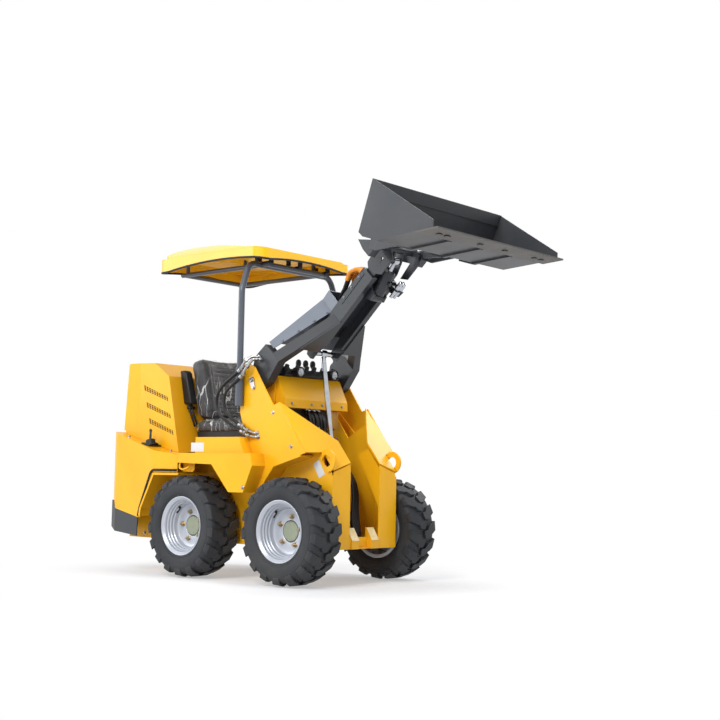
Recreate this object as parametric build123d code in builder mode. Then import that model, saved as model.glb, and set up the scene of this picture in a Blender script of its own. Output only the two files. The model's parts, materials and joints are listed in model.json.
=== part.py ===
from build123d import *

import os
from math import atan2, cos, degrees, hypot, radians, sin

# Compact wheel loader with a canopy, an open seat and a telescopic boom, as parked with the boom up.
# Lengths are millimetres.  X runs forward, Y to the driver's left and Z up from the ground.
# Side profiles are drawn in (forward of the front axle, height above the ground).

os.makedirs("parts", exist_ok=True)

# ---------------------------------------------------------------- layout and fits
front_axle_x = 238.3         # puts the origin under the middle of the overall length
wheelbase = 785.0
track = 806.0                # between the middles of the left and right tyres
running_gap = 0.3            # between a pin and its bore, and beside parts that turn
side_gap = 0.5               # beside an eye between its ears

# ---------------------------------------------------------------- wheels
tyre_radius = 292.0          # to the lug tips
tyre_width = 216.0
bead_radius = 153.0
rim_flange_radius = 168.0
rim_half_width = 95.0
rim_well_radius = 134.0
rim_wall = 6.0
disc_outset = 2.0            # outer face of the wheel disc from the middle of the tyre
disc_thickness = 8.0
hub_recess = 40.0            # the disc steps in over the end of the drive hub
hub_recess_radius = 57.0
hub_wall = 6.0
spindle_radius = 30.0
motor_radius = 62.0

# ---------------------------------------------------------------- chassis
wall_outer_y = 270.0         # outer face of the long chassis side walls
wall = 8.0
floor_z = 195.0
chassis_rear_x = -1522.0
nose_x = 166.0               # front face of the nose columns
slot_half = 123.0            # half width of the slot that the boom drops into
beam_top_z = 285.0           # top of the cross beam below the slot
platform_z = 700.0
platform_front_x = -270.0

# ---------------------------------------------------------------- towers
tower_outer_y = 378.0
boom_pivot_x = -353.0
boom_pivot_z = 1120.0
boom_pin_radius = 20.0

# ---------------------------------------------------------------- boom, drawn along its own centre line
boom_angle = 44.0
boom_half = 105.0            # half width of the straight boom box
boom_depth = 94.0
boom_wall = 10.0
boom_end_u = 850.0
arm_outer_y = 345.0
arm_width = 58.0
arm_fold_u = 190.0           # where the arms start to lean inwards
elbow_u = 525.0              # where they meet the straight box
lift_eye_u = 253.0
lift_eye_v = -8.0

# ---------------------------------------------------------------- inner boom
inner_half = 88.0
inner_wall = 10.0
inner_top_v = 31.0
inner_bottom_v = -31.0
tilt_base_u = 745.0
tilt_base_v = -70.0
tilt_pin_radius = 12.0
carrier_pivot_u = 970.0
carrier_pivot_v = 45.0
carrier_pin_radius = 16.0

# ---------------------------------------------------------------- cylinders
lift_base_x = -15.0
lift_base_z = 330.0
lift_barrel_radius = 38.0
lift_barrel_length = 475.0
lift_rod_radius = 15.0
lift_pin_radius = 18.0
tilt_crank = 68.0            # from the carrier pivot to the tilt rod's eye
tilt_crank_angle = 65.0      # between the crank and the line to the tilt cylinder's base
tilt_barrel_radius = 34.0
tilt_barrel_length = 166.0
tilt_rod_radius = 14.0

# ---------------------------------------------------------------- bucket
bucket_half = 560.0
bucket_plate = 8.0

# ---------------------------------------------------------------- rear body, hood and canopy
body_half = 480.0
body_wall = 6.0
tail_fold_half = 400.0       # where the sides of the tail fold in
tail_half = 380.0
tail_x = -1551.0
bumper_overhang = 14.0       # of the bumper behind the tail
hood_half = 340.0
hood_tail_half = 312.0
hood_top_z = 1267.0
hood_tail_top_x = -1508.0
hood_tail_low_x = -1540.0
hood_wall = 4.0
door_gap = 5.0
post_x = -428.0
post_radius = 18.0
sleeve_radius = 24.0
post_y = tower_outer_y + sleeve_radius + running_gap


def side(y=0.0):
    """Plane across the machine at y: sketch x is forward of the front axle, sketch y is height."""
    return Plane(origin=(front_axle_x, y, 0), x_dir=(1, 0, 0), z_dir=(0, -1, 0))


def deck(z):
    """Level plane at height z: sketch x is forward of the front axle, sketch y is to the left."""
    return Plane(origin=(front_axle_x, 0, z), x_dir=(1, 0, 0), z_dir=(0, 0, 1))


boom_dir = Vector(cos(radians(boom_angle)), 0, sin(radians(boom_angle)))
boom_up = Vector(-sin(radians(boom_angle)), 0, cos(radians(boom_angle)))
boom_pivot = Vector(front_axle_x + boom_pivot_x, 0, boom_pivot_z)


def boom_point(u, v, y=0.0):
    """Point of the machine that lies u along the boom and v above its centre line."""
    return boom_pivot + boom_dir * u + boom_up * v + Vector(0, y, 0)


def boom_side(y=0.0):
    """Plane across the boom at y: sketch x runs along the boom, sketch y above it."""
    return Plane(origin=boom_point(0, 0, y), x_dir=boom_dir, z_dir=(0, -1, 0))


def boom_plan(v):
    """Plane along the boom at v: sketch x runs along the boom, sketch y to the left."""
    return Plane(origin=boom_point(0, v), x_dir=boom_dir, z_dir=boom_up)


def across(point, y_low):
    """Plane facing +Y through point at y_low, for pins and eyes along Y."""
    return Plane(origin=(point.X, y_low, point.Z), x_dir=(1, 0, 0), z_dir=(0, 1, 0))


# ================================================================ chassis frame
# One welded tray: two side walls with the boom bearings, a floor, cross walls and the driver's platform.
wall_profile = [
    (chassis_rear_x, floor_z), (nose_x, floor_z), (nose_x, 604), (69, 726), (-62, 888),
    (-194, 814), (-284, 934), (-272, 1060), (-296, 1178), (-400, 1178), (-452, 1010),
    (-470, platform_z), (-1000, platform_z), (-1180, 520), (chassis_rear_x, 420)]
eye_x, eye_z = 137.0, 672.0
eye_radius = 33.0
eye_outer_radius = 62.0
eye_thickness = 12.0
cross_walls = [(chassis_rear_x, floor_z, 400), (-1060, floor_z, 620), (-470, floor_z, platform_z)]

with BuildPart() as chassis_frame:
    for y_sign in (-1, 1):
        with BuildSketch(side(y_sign * wall_outer_y)):
            with BuildLine():
                Polyline(*wall_profile, close=True)
            make_face()
        extrude(amount=y_sign * wall)
        # lifting eye, a flat ring welded to the outside of the wall
        with BuildSketch(side(y_sign * wall_outer_y)):
            with Locations((eye_x, eye_z)):
                Circle(eye_outer_radius)
            with BuildLine():
                Polyline((eye_x - 22 - 75, eye_z - 16 + 100), (eye_x - 22 + 75, eye_z - 16 - 100),
                         (eye_x - 150, eye_z - 150), close=True)
            make_face(mode=Mode.SUBTRACT)
            with Locations((eye_x - 56, eye_z + 40)):
                Rectangle(40, 40, mode=Mode.SUBTRACT)
        extrude(amount=-y_sign * eye_thickness)
        with BuildSketch(side(y_sign * (wall_outer_y - wall))):
            with Locations((eye_x, eye_z)):
                Circle(eye_radius)
        extrude(amount=-y_sign * (wall + eye_thickness), mode=Mode.SUBTRACT)
    with BuildSketch(deck(floor_z)):
        with BuildLine():
            Polyline((chassis_rear_x, -wall_outer_y), (nose_x, -wall_outer_y),
                     (nose_x, wall_outer_y), (chassis_rear_x, wall_outer_y), close=True)
        make_face()
    extrude(amount=wall)
    with BuildSketch(deck(platform_z - wall)):
        with BuildLine():
            Polyline((-1000, -wall_outer_y), (platform_front_x, -wall_outer_y),
                     (platform_front_x, wall_outer_y), (-1000, wall_outer_y), close=True)
        make_face()
    extrude(amount=wall)
    for cross_x, low_z, high_z in cross_walls:
        with BuildSketch(side()):
            with BuildLine():
                Polyline((cross_x, low_z), (cross_x + wall, low_z),
                         (cross_x + wall, high_z), (cross_x, high_z), close=True)
            make_face()
        extrude(amount=wall_outer_y, both=True)
    # Ears for the foot of the lift cylinder, with its pin.
    lift_base = Vector(front_axle_x + lift_base_x, 0, lift_base_z)
    for ear_y in (-56, 44):
        with BuildSketch(side(ear_y + 12)):
            with BuildLine():
                Polyline((lift_base_x - 70, floor_z), (lift_base_x + 70, floor_z),
                         (lift_base_x + 26, lift_base_z + 26), (lift_base_x - 26, lift_base_z + 26), close=True)
            make_face()
        extrude(amount=12)
    with BuildSketch(across(lift_base, -56)):
        Circle(lift_pin_radius)
    extrude(amount=112)
chassis_frame.part.label = "chassis_frame"
export_step(chassis_frame.part, "parts/chassis_frame.step")

# ================================================================ nose frame
# Two folded columns and the cross beam below the boom's slot, with the boom rests.
rest_outer_y = 112.0
rest_plate_z = 258.0         # top of the low plate between the rests
with BuildPart() as nose_frame:
    for y_sign in (-1, 1):
        # front face of the column
        with BuildSketch(Plane(origin=(front_axle_x + nose_x, 0, 0), x_dir=(0, 1, 0), z_dir=(1, 0, 0))):
            with BuildLine():
                Polyline((y_sign * slot_half, beam_top_z), (y_sign * slot_half, 632),
                         (y_sign * wall_outer_y, 592), (y_sign * wall_outer_y, beam_top_z), close=True)
            make_face()
        extrude(amount=wall)
        # inner flange along the slot
        with BuildSketch(side(y_sign * slot_half)):
            with BuildLine():
                Polyline((nose_x, 423), (nose_x + wall, 423), (nose_x + wall, 632),
                         (84, 748), (10, 716), close=True)
            make_face()
        extrude(amount=-y_sign * wall)
        # end of the cross beam and the sloping rest that the lowered boom lies on
        with BuildSketch(side(y_sign * wall_outer_y)):
            with BuildLine():
                Polyline((nose_x, floor_z), (nose_x + wall, floor_z), (nose_x + wall, beam_top_z),
                         (nose_x, beam_top_z), close=True)
            make_face()
        extrude(amount=y_sign * (wall_outer_y - slot_half))
        with BuildSketch(side(y_sign * slot_half)):
            with Locations((nose_x + wall / 2, (floor_z + rest_plate_z) / 2)):
                Rectangle(wall, rest_plate_z - floor_z)
        extrude(amount=y_sign * (slot_half - rest_outer_y))
        with BuildSketch(side(y_sign * rest_outer_y)):
            with BuildLine():
                Polyline((nose_x - 34, floor_z + wall), (nose_x, floor_z + wall), (nose_x, floor_z),
                         (nose_x + 14, floor_z), (nose_x + 16, 240), (nose_x - 24, 306), (nose_x - 34, 306),
                         close=True)
            make_face()
        extrude(amount=y_sign * 58)
    with BuildSketch(side()):
        with BuildLine():
            Polyline((nose_x - 26, floor_z + wall), (nose_x - 18, floor_z + wall), (nose_x - 18, rest_plate_z),
                     (nose_x - 26, rest_plate_z), close=True)
        make_face()
    extrude(amount=rest_outer_y, both=True)
nose_frame.part.label = "nose_frame"
export_step(nose_frame.part, "parts/nose_frame.step")

# ================================================================ towers
# Outer plate, sloping front plate and bearing pin of each boom tower.
tower_profile = [
    (-374, 1212), (-335, 1193), (-181, 974), (-136, 990), (69, 712), (32, 701), (-171, 645), (-284, 507),
    (-358, 700), (-444, 942), (-420, 1168)]
slope_points = [(-151, 364, 989), (73, slot_half, 779), (nose_x, slot_half, 657),
                (nose_x, 258, 615), (93, 260, 715), (69, tower_outer_y, 712)]
well_roof = [(-284, 507), (-171, 645), (32, 701), (36, 694), (-167, 637), (-278, 502)]

for y_sign, side_name in ((-1, "right"), (1, "left")):
    with BuildPart() as tower:
        with BuildSketch(side(y_sign * tower_outer_y)):
            with BuildLine():
                Polyline(*tower_profile, close=True)
            make_face()
        extrude(amount=y_sign * wall)
        corners = [Vector(front_axle_x + x, y_sign * y, z) for x, y, z in slope_points]
        slope = Plane(origin=corners[0], x_dir=corners[1] - corners[0],
                      z_dir=(corners[1] - corners[0]).cross(corners[-1] - corners[0]) * -y_sign)
        flat_corners = [slope.to_local_coords(corner) for corner in corners]
        with BuildSketch(slope):
            with BuildLine():
                Polyline(*[(corner.X, corner.Y) for corner in flat_corners], close=True)
            make_face()
        extrude(amount=-wall)
        with BuildSketch(side(y_sign * tower_outer_y)):
            with BuildLine():
                Polyline(*well_roof, close=True)
            make_face()
        extrude(amount=y_sign * (tower_outer_y - wall_outer_y))
        with BuildSketch(across(boom_pivot, y_sign * wall_outer_y)):
            Circle(boom_pin_radius)
        extrude(amount=y_sign * (tower_outer_y - wall_outer_y))
    tower.part.label = f"tower_{side_name}"
    export_step(tower.part, f"parts/tower_{side_name}.step")

# ================================================================ step fenders
# Box step over the rear wheel and the skirt between the wheels.
band_profile = [(-849, 652), (-849, 708), (-249, 708), (-232, 640), (-300, 492), (-416, 492), (-561, 645)]
box_profile = [(-729, 708), (-729, 799), (-371, 799), (-330, 708)]
for y_sign, side_name in ((-1, "right"), (1, "left")):
    with BuildPart() as fender:
        with BuildSketch(side(y_sign * body_half)):
            with BuildLine():
                Polyline(*band_profile, close=True)
            make_face()
        extrude(amount=y_sign * (body_half - tower_outer_y))
        with BuildSketch(side(y_sign * tower_outer_y)):
            with BuildLine():
                Polyline((-849, 652), (-849, 708), (-452, 708), (-452, 652), close=True)
            make_face()
        extrude(amount=y_sign * (tower_outer_y - wall_outer_y))
        with BuildSketch(side(y_sign * 452)):
            with BuildLine():
                Polyline(*box_profile, close=True)
            make_face()
        extrude(amount=y_sign * (452 - tower_outer_y))
    fender.part.label = f"fender_{side_name}"
    export_step(fender.part, f"parts/fender_{side_name}.step")

# ================================================================ rear body and bumper
# Folded engine surround that narrows towards the tail, with wheel arches, and the dark bumper below it.
def tail_plan(rear_x):
    """Outline of the tail seen from above, with its rear face at rear_x."""
    half = [(-850, body_half), (-1070, body_half), (-1510, tail_fold_half), (rear_x, tail_half)]
    return half + [(x, -y) for x, y in reversed(half)]


arch_profile = [(-1236, 150), (-1190, 380), (-1073, 597), (-840, 597), (-840, 150)]
with BuildPart() as rear_body:
    with BuildSketch(deck(300)):
        with BuildLine():
            Polyline(*tail_plan(tail_x), close=True)
        make_face()
    extrude(amount=560)
    with BuildSketch(side()):
        with BuildLine():
            Polyline((-850, 696), (-1070, 724), (tail_x, 840), (tail_x, 430), (-1505, 370), (-1230, 326),
                     (-850, 326), close=True)
        make_face()
    extrude(amount=body_half, both=True, mode=Mode.INTERSECT)
    floor_faces = rear_body.faces().filter_by(lambda face: face.normal_at().Z < -0.5)
    front_face = rear_body.faces().sort_by(Axis.X)[-1]
    offset(amount=-body_wall, openings=[*floor_faces, front_face])
    with BuildSketch(side()):
        with BuildLine():
            Polyline(*arch_profile, close=True)
        make_face()
    extrude(amount=body_half + 1, both=True, mode=Mode.SUBTRACT)
    with BuildSketch(deck(650)):
        with BuildLine():
            Polyline((-1000, 300), (-1490, 290), (-1490, -290), (-1000, -300), close=True)
        make_face()
    extrude(amount=250, mode=Mode.SUBTRACT)
    with BuildSketch(deck(600)):
        Rectangle(2 * 1010, 2 * wall_outer_y)
    extrude(amount=150, mode=Mode.SUBTRACT)
rear_body.part.label = "rear_body"
export_step(rear_body.part, "parts/rear_body.step")

bumper_edge = [(-1600, 430), (tail_x, 430), (-1505, 370), (-1230, 326), (-1236, 215), (-1505, 232),
               (-1565, 258), (-1600, 258)]
with BuildPart() as rear_bumper:
    with BuildSketch(deck(200)):
        with BuildLine():
            Polyline(*tail_plan(tail_x - bumper_overhang), close=True)
        make_face()
    extrude(amount=220)
    with BuildSketch(side()):
        with BuildLine():
            Polyline(*bumper_edge, close=True)
        make_face()
    extrude(amount=body_half, both=True, mode=Mode.INTERSECT)
    caps = rear_bumper.faces().filter_by(lambda face: abs(face.normal_at().Z) > 0.5)
    open_front = rear_bumper.faces().sort_by(Axis.X)[-1]
    offset(amount=-body_wall, openings=[*caps, open_front])
rear_bumper.part.label = "rear_bumper"
export_step(rear_bumper.part, "parts/rear_bumper.step")

# ================================================================ engine
with BuildPart() as engine_block:
    with BuildSketch(deck(floor_z + wall)):
        with BuildLine():
            Polyline((-1440, -200), (-1080, -200), (-1080, 200), (-1440, 200), close=True)
        make_face()
    extrude(amount=760)
engine_block.part.label = "engine_block"
export_step(engine_block.part, "parts/engine_block.step")

# ================================================================ hood and rear door
hood_plan = [(-990, hood_half), (-1380, hood_half), (hood_tail_low_x, hood_tail_half),
             (hood_tail_low_x, -hood_tail_half), (-1380, -hood_half), (-990, -hood_half)]
hood_profile = [(-1004, 717), (-1112, 1174), (-1246, 1259), (hood_tail_top_x, hood_top_z),
                (hood_tail_low_x, 838), (-1070, 725)]
hood_vents = [(-1228, 1073), (-1199, 968), (-1170, 869)]
vent_outline = [(-116, 54), (-110, 22), (118, -52), (108, -24)]
with BuildPart() as hood:
    with BuildSketch(deck(650)):
        with BuildLine():
            Polyline(*hood_plan, close=True)
        make_face()
    extrude(amount=650)
    with BuildSketch(side()):
        with BuildLine():
            Polyline(*hood_profile, close=True)
        make_face()
    extrude(amount=body_half, both=True, mode=Mode.INTERSECT)
    hood_openings = [*hood.faces().filter_by(lambda face: face.normal_at().Z < -0.5),
                     hood.faces().sort_by(Axis.X)[0]]
    offset(amount=-hood_wall, openings=hood_openings)
    # vents in both sides, one above the other
    with BuildSketch(side()):
        for vent_x, vent_z in hood_vents:
            with BuildLine():
                Polyline(*[(vent_x + x, vent_z + z) for x, z in vent_outline], close=True)
            make_face()
    extrude(amount=hood_half + 1, both=True, mode=Mode.SUBTRACT)

# The door lies on the sloping rear edge of the hood: sketch x to the left, sketch y up its slope.
door_up = Vector(hood_tail_top_x - hood_tail_low_x, 0, hood_top_z - 838).normalized()
door_plane = Plane(origin=(front_axle_x + hood_tail_low_x, 0, 838), x_dir=(0, 1, 0),
                   z_dir=Vector(0, 1, 0).cross(door_up))
door_height = (hood_top_z - 838) / door_up.Z
door_thickness = 16.0
hinge_y = hood_tail_half - 12
hinge_radius = 8.0
hinge_rise = running_gap + hinge_radius
door_knuckles = [(60, 50), (320, 50)]
hood_knuckles = [(110.5, 30), (289.5, 30)]


def knuckle_plane(low):
    """Plane across the hinge, low above the foot of the door."""
    return Plane(origin=door_plane.from_local_coords((hinge_y, low, -hinge_rise)), z_dir=door_up)


with hood:
    for low, length in hood_knuckles:
        with BuildSketch(knuckle_plane(low)):
            Circle(hinge_radius)
        extrude(amount=length)
        with BuildSketch(door_plane.offset(-hinge_rise)):
            with Locations(((hinge_y + hood_tail_half) / 2, low + length / 2)):
                Rectangle(hood_tail_half - hinge_y, length)
        extrude(amount=hinge_rise)
hood.part.label = "hood"
export_step(hood.part, "parts/hood.step")

with BuildPart() as rear_door:
    with BuildSketch(door_plane.offset(-running_gap)):
        with BuildLine():
            Polyline((-hood_tail_half, 12), (hinge_y - 14, 12), (hinge_y - 14, door_height - 4),
                     (-hood_tail_half, door_height - 4), close=True)
        make_face()
    extrude(amount=-door_thickness)
    for low, length in door_knuckles:
        with BuildSketch(knuckle_plane(low)):
            Circle(hinge_radius)
        extrude(amount=length)
        with BuildSketch(door_plane.offset(-running_gap - 3)):
            with Locations((hinge_y - 8, low + length / 2)):
                Rectangle(16, length)
        extrude(amount=-10)
    # bail handle
    handle_plane = Plane(origin=door_plane.from_local_coords((40 - hood_tail_half, 0, -running_gap - door_thickness)),
                         x_dir=-door_plane.z_dir, z_dir=(0, 1, 0))
    with BuildLine() as handle:
        FilletPolyline(*[handle_plane.from_local_coords(Vector(out, up, 0)) for out, up in
                         ((0, 250), (26, 250), (26, 380), (0, 380))], radius=10)
    with BuildSketch(Plane(origin=handle.line @ 0, z_dir=handle.line % 0)):
        Circle(6)
    sweep(path=handle.line)
rear_door.part.label = "rear_door"
export_step(rear_door.part, "parts/rear_door.step")

# ================================================================ console, lamps and levers
console_top = 1150.0
with BuildPart() as console:
    with BuildSketch(side()):
        with BuildLine():
            Polyline((-330, console_top), (-267, console_top), (-202, 1019), (-199, 971), (-330, 971), close=True)
        make_face()
    extrude(amount=wall_outer_y - wall, both=True)
console.part.label = "console"
export_step(console.part, "parts/console.step")

lamp_x, lamp_y, lamp_z, lamp_radius = -200.0, 143.0, 1176.0, 28.0
with BuildPart() as work_lamps:
    for y_sign in (-1, 1):
        with BuildSketch(Plane(origin=(front_axle_x + lamp_x, y_sign * lamp_y, lamp_z), x_dir=(0, 1, 0),
                               z_dir=(1, 0, 0))):
            Circle(lamp_radius)
        extrude(amount=-46)
        with BuildSketch(Plane(origin=(front_axle_x + lamp_x, y_sign * lamp_y, lamp_z), x_dir=(0, 1, 0),
                               z_dir=(1, 0, 0))):
            Circle(lamp_radius - 3)
        extrude(amount=-14, taper=24, mode=Mode.SUBTRACT)
        with BuildSketch(side(y_sign * lamp_y)):
            with BuildLine():
                Polyline((-292, console_top), (-268, console_top), (lamp_x - 40, lamp_z - 12),
                         (lamp_x - 40, lamp_z + 12), (lamp_x - 60, lamp_z + 12), (-292, console_top + 14),
                         close=True)
            make_face()
        extrude(amount=10, both=True)
work_lamps.part.label = "work_lamps"
export_step(work_lamps.part, "parts/work_lamps.step")

with BuildPart() as control_levers:
    with BuildSketch(deck(console_top)):
        with Locations((-300, -60), (-300, 0), (-300, 60)):
            Circle(7)
    extrude(amount=66)
control_levers.part.label = "control_levers"
export_step(control_levers.part, "parts/control_levers.step")

with BuildPart() as valve_block:
    with BuildSketch(deck(platform_z)):
        with BuildLine():
            Polyline((-345, -180), (-275, -180), (-275, 180), (-345, 180), close=True)
        make_face()
    extrude(amount=271)
valve_block.part.label = "valve_block"
export_step(valve_block.part, "parts/valve_block.step")

# ================================================================ seat
with BuildPart() as seat_base:
    with BuildSketch(deck(platform_z)):
        with BuildLine():
            Polyline((-960, -190), (-560, -190), (-560, 190), (-960, 190), close=True)
        make_face()
    extrude(amount=130)
seat_base.part.label = "seat_base"
export_step(seat_base.part, "parts/seat_base.step")

with BuildPart() as seat_cushion:
    with BuildSketch(side()):
        with BuildLine():
            Polyline((-985, 830), (-540, 830), (-520, 880), (-540, 925), (-970, 905), close=True)
        make_face()
    extrude(amount=228, both=True)
seat_cushion.part.label = "seat_cushion"
export_step(seat_cushion.part, "parts/seat_cushion.step")

back_half = 206.0
back_top_z = 1288.0
back_corner = 70.0
with BuildPart() as seat_back:
    with BuildSketch(side()):
        with BuildLine():
            Polyline((-990, 905.3), (-970, 905.3), (-900, 908.6), (-985, back_top_z - 18), (-1025, back_top_z),
                     (-1085, back_top_z - 18), close=True)
        make_face()
    extrude(amount=back_half, both=True)
    with BuildSketch(Plane(origin=(front_axle_x - 1100, 0, 0), x_dir=(0, 1, 0), z_dir=(1, 0, 0))) as back_front:
        with BuildLine():
            Polyline((-back_half, 900), (-back_half, back_top_z + 1), (back_half, back_top_z + 1),
                     (back_half, 900), close=True)
        make_face()
        fillet(back_front.vertices().sort_by(Axis.Z)[-2:], back_corner)
    extrude(amount=210, mode=Mode.INTERSECT)
seat_back.part.label = "seat_back"
export_step(seat_back.part, "parts/seat_back.step")

arm_pad_y = 250.0
with BuildPart() as armrests:
    for y_sign in (-1, 1):
        with BuildSketch(side(y_sign * arm_pad_y)):
            with BuildLine():
                Polyline((-1060, 985), (-1000, 985), (-1064, 1200), (-1078, 1215), (-1122, 1215), (-1112, 1186),
                         close=True)
            make_face()
        extrude(amount=-y_sign * 58)
        # pivot stub against the side of the seat back
        with BuildSketch(Plane(origin=(front_axle_x - 1018, y_sign * (back_half + running_gap), 1010),
                               x_dir=(1, 0, 0), z_dir=(0, y_sign, 0))):
            Circle(14)
        extrude(amount=arm_pad_y - back_half)
armrests.part.label = "armrests"
export_step(armrests.part, "parts/armrests.step")

# ================================================================ canopy
# The roof is a moulded shell: a stepped rim with an arched lower edge, and a crown set in from it.
roof_rear_x, roof_front_x = -1220.0, -300.0
roof_rear_half, roof_front_half = 362.0, 398.0
roof_wall = 6.0
roof_corner = 60.0
rim_rear_z, rim_front_z = 1888.0, 1868.0     # top of the rim
rim_low_z = 1780.0
crown_inset = 22.0
crown_profile = [(-1230, 1896), (-1195, 1904), (-1150, 1950), (-1060, 1972), (-780, 1952), (-420, 1890),
                 (-290, 1879)]
crown_ridge = [(-410, 1882), (-352, 1898), (0, 2010), (352, 1898), (410, 1882)]
lower_arch = [(-1240, 1791), (-683, 1835), (-280, 1812)]
lower_end = [(-410, 1799), (0, 1835), (410, 1799)]
roof_end = Plane(origin=(front_axle_x + roof_rear_x - 10, 0, 0), x_dir=(0, 1, 0), z_dir=(1, 0, 0))
roof_length = roof_front_x - roof_rear_x + 20


def roof_plan(inset):
    """Corners of the roof seen from above, moved in by inset."""
    corners = [(roof_rear_x + inset, roof_rear_half - inset), (roof_front_x - inset, roof_front_half - inset)]
    return corners + [(x, -y) for x, y in reversed(corners)]


roof_solids = []
for inset in (0.0, roof_wall):
    with BuildPart() as roof_solid:
        with BuildSketch(deck(rim_low_z)) as crown_plan:
            with BuildLine():
                Polyline(*roof_plan(crown_inset + inset), close=True)
            make_face()
            fillet(crown_plan.vertices(), roof_corner - inset)
        extrude(amount=crown_ridge[2][1] - rim_low_z)
        with BuildSketch(side()):
            with BuildLine():
                Polyline((-1230, 1700), *[(x, z - inset) for x, z in crown_profile], (-290, 1700), close=True)
            make_face()
        extrude(amount=roof_front_half, both=True, mode=Mode.INTERSECT)
        ridge = [(y, z - inset) for y, z in crown_ridge]
        with BuildSketch(roof_end):
            with BuildLine():
                Line(ridge[0], ridge[1])
                ThreePointArc(*ridge[1:4])
                Polyline(ridge[3], ridge[4], (410, 1700), (-410, 1700), ridge[0])
            make_face()
        extrude(amount=roof_length, mode=Mode.INTERSECT)
    with BuildPart() as roof_rim:
        with BuildSketch(deck(rim_low_z)) as rim_plan:
            with BuildLine():
                Polyline(*roof_plan(inset), close=True)
            make_face()
            fillet(rim_plan.vertices(), roof_corner - inset)
        extrude(amount=200)
        with BuildSketch(side()):
            with BuildLine():
                Polyline((-1230, 1700), (-1230, rim_rear_z - inset), (-290, rim_front_z - inset), (-290, 1700),
                         close=True)
            make_face()
        extrude(amount=roof_front_half, both=True, mode=Mode.INTERSECT)
    roof_solids.append(roof_solid.part + roof_rim.part)
roof_outside, roof_inside = roof_solids

with BuildPart() as canopy_roof:
    add(roof_outside)
    add(roof_inside, mode=Mode.SUBTRACT)
    # the lower edge arches along the sides and across the ends
    with BuildSketch(side()):
        with BuildLine():
            Polyline(lower_arch[2], (lower_arch[2][0], 1700), (lower_arch[0][0], 1700), lower_arch[0])
            ThreePointArc(*lower_arch)
        make_face()
    extrude(amount=roof_front_half + 2, both=True, mode=Mode.SUBTRACT)
    with BuildSketch(roof_end):
        with BuildLine():
            Polyline(lower_end[2], (lower_end[2][0], 1700), (lower_end[0][0], 1700), lower_end[0])
            ThreePointArc(*lower_end)
        make_face()
    extrude(amount=roof_length, mode=Mode.SUBTRACT)
canopy_roof.part.label = "canopy_roof"
export_step(canopy_roof.part, "parts/canopy_roof.step")

hoop_top = 1800.0
rail_y = 240.0
rail_radius = 14.0
with BuildPart() as canopy_frame:
    # stand-offs first, trimmed to the inside of the roof
    for y_sign in (-1, 1):
        with BuildSketch(deck(hoop_top)):
            with Locations((-1080, y_sign * rail_y), (-480, y_sign * rail_y)):
                Circle(12)
        extrude(amount=200)
    add(roof_inside.moved(Location((0, 0, -running_gap))), mode=Mode.INTERSECT)
    hoop_x = front_axle_x + post_x
    with BuildLine() as hoop:
        FilletPolyline((hoop_x, -post_y, 980), (hoop_x, -post_y, 1640), (hoop_x - 10, -post_y + 62, hoop_top),
                       (hoop_x - 10, post_y - 62, hoop_top), (hoop_x, post_y, 1640), (hoop_x, post_y, 980),
                       radius=70)
    with BuildSketch(Plane(origin=hoop.line @ 0, z_dir=hoop.line % 0)):
        Circle(post_radius)
    sweep(path=hoop.line)
    for y_sign in (-1, 1):
        # sleeve that the post stands in, beside the tower
        with BuildSketch(deck(975)):
            with Locations((post_x, y_sign * post_y)):
                Circle(sleeve_radius)
        extrude(amount=215)
        # rail under the roof
        with BuildSketch(Plane(origin=(front_axle_x - 1130, y_sign * rail_y, hoop_top), z_dir=(1, 0, 0))):
            Circle(rail_radius)
        extrude(amount=760)
    for rail_x in (-1110, -390):
        with BuildSketch(Plane(origin=(front_axle_x + rail_x, 0, hoop_top), z_dir=(0, 1, 0))):
            Circle(rail_radius)
        extrude(amount=rail_y, both=True)
canopy_frame.part.label = "canopy_frame"
export_step(canopy_frame.part, "parts/canopy_frame.step")

# ================================================================ wheels and their drive hubs
# The tyre is faceted: one flat of the carcass for each lug along a side.  Its bars lean the same way on both
# sides, half a pitch apart, and are drawn as (from the middle of the tread, along the tread).
lug_count = 19
lug_depth = 50.0
lug_outline = [(104, -6), (104, -40), (56, -20), (-6, 12), (-6, 40)]
tyre_half = tyre_width / 2
bead_half = rim_half_width - rim_wall
carcass_sections = [(-tyre_half, 222), (-86, 266), (86, 266), (tyre_half, 222)]
lug_reach = max(abs(along) for _, along in lug_outline)
lug_plane_radius = (tyre_radius ** 2 - lug_reach ** 2) ** 0.5


def tyre_plane(y):
    """Plane across the axle at y from the middle of the tyre."""
    return Plane(origin=(0, y, 0), x_dir=(1, 0, 0), z_dir=(0, 1, 0))


with BuildPart() as tyre_form:
    for (low_y, low_radius), (high_y, high_radius) in zip(carcass_sections, carcass_sections[1:]):
        with BuildSketch(tyre_plane(low_y)):
            RegularPolygon(low_radius, lug_count)
        with BuildSketch(tyre_plane(high_y)):
            RegularPolygon(high_radius, lug_count)
        loft(ruled=True)
    for flank, shift in ((-1, 0.0), (1, 0.5)):
        for lug in range(lug_count):
            turn = radians((lug + shift) * 360 / lug_count)
            outwards = Vector(cos(turn), 0, sin(turn))
            with BuildSketch(Plane(origin=outwards * lug_plane_radius, x_dir=(0, flank, 0), z_dir=outwards)):
                with BuildLine():
                    Polyline(*[(out, flank * along) for out, along in lug_outline], close=True)
                make_face()
            extrude(amount=-lug_depth)
    # dished sides down to the beads, then the bore
    for end in (-1, 1):
        with BuildSketch(tyre_plane(end * bead_half)):
            RegularPolygon(rim_flange_radius + 4, lug_count)
        with BuildSketch(tyre_plane(end * (tyre_half + 1))):
            RegularPolygon(220, lug_count)
        loft(ruled=True, mode=Mode.SUBTRACT)
    with BuildSketch(tyre_plane(-tyre_half)):
        RegularPolygon(bead_radius, lug_count, major_radius=False)
    extrude(amount=tyre_width, mode=Mode.SUBTRACT)

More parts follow.
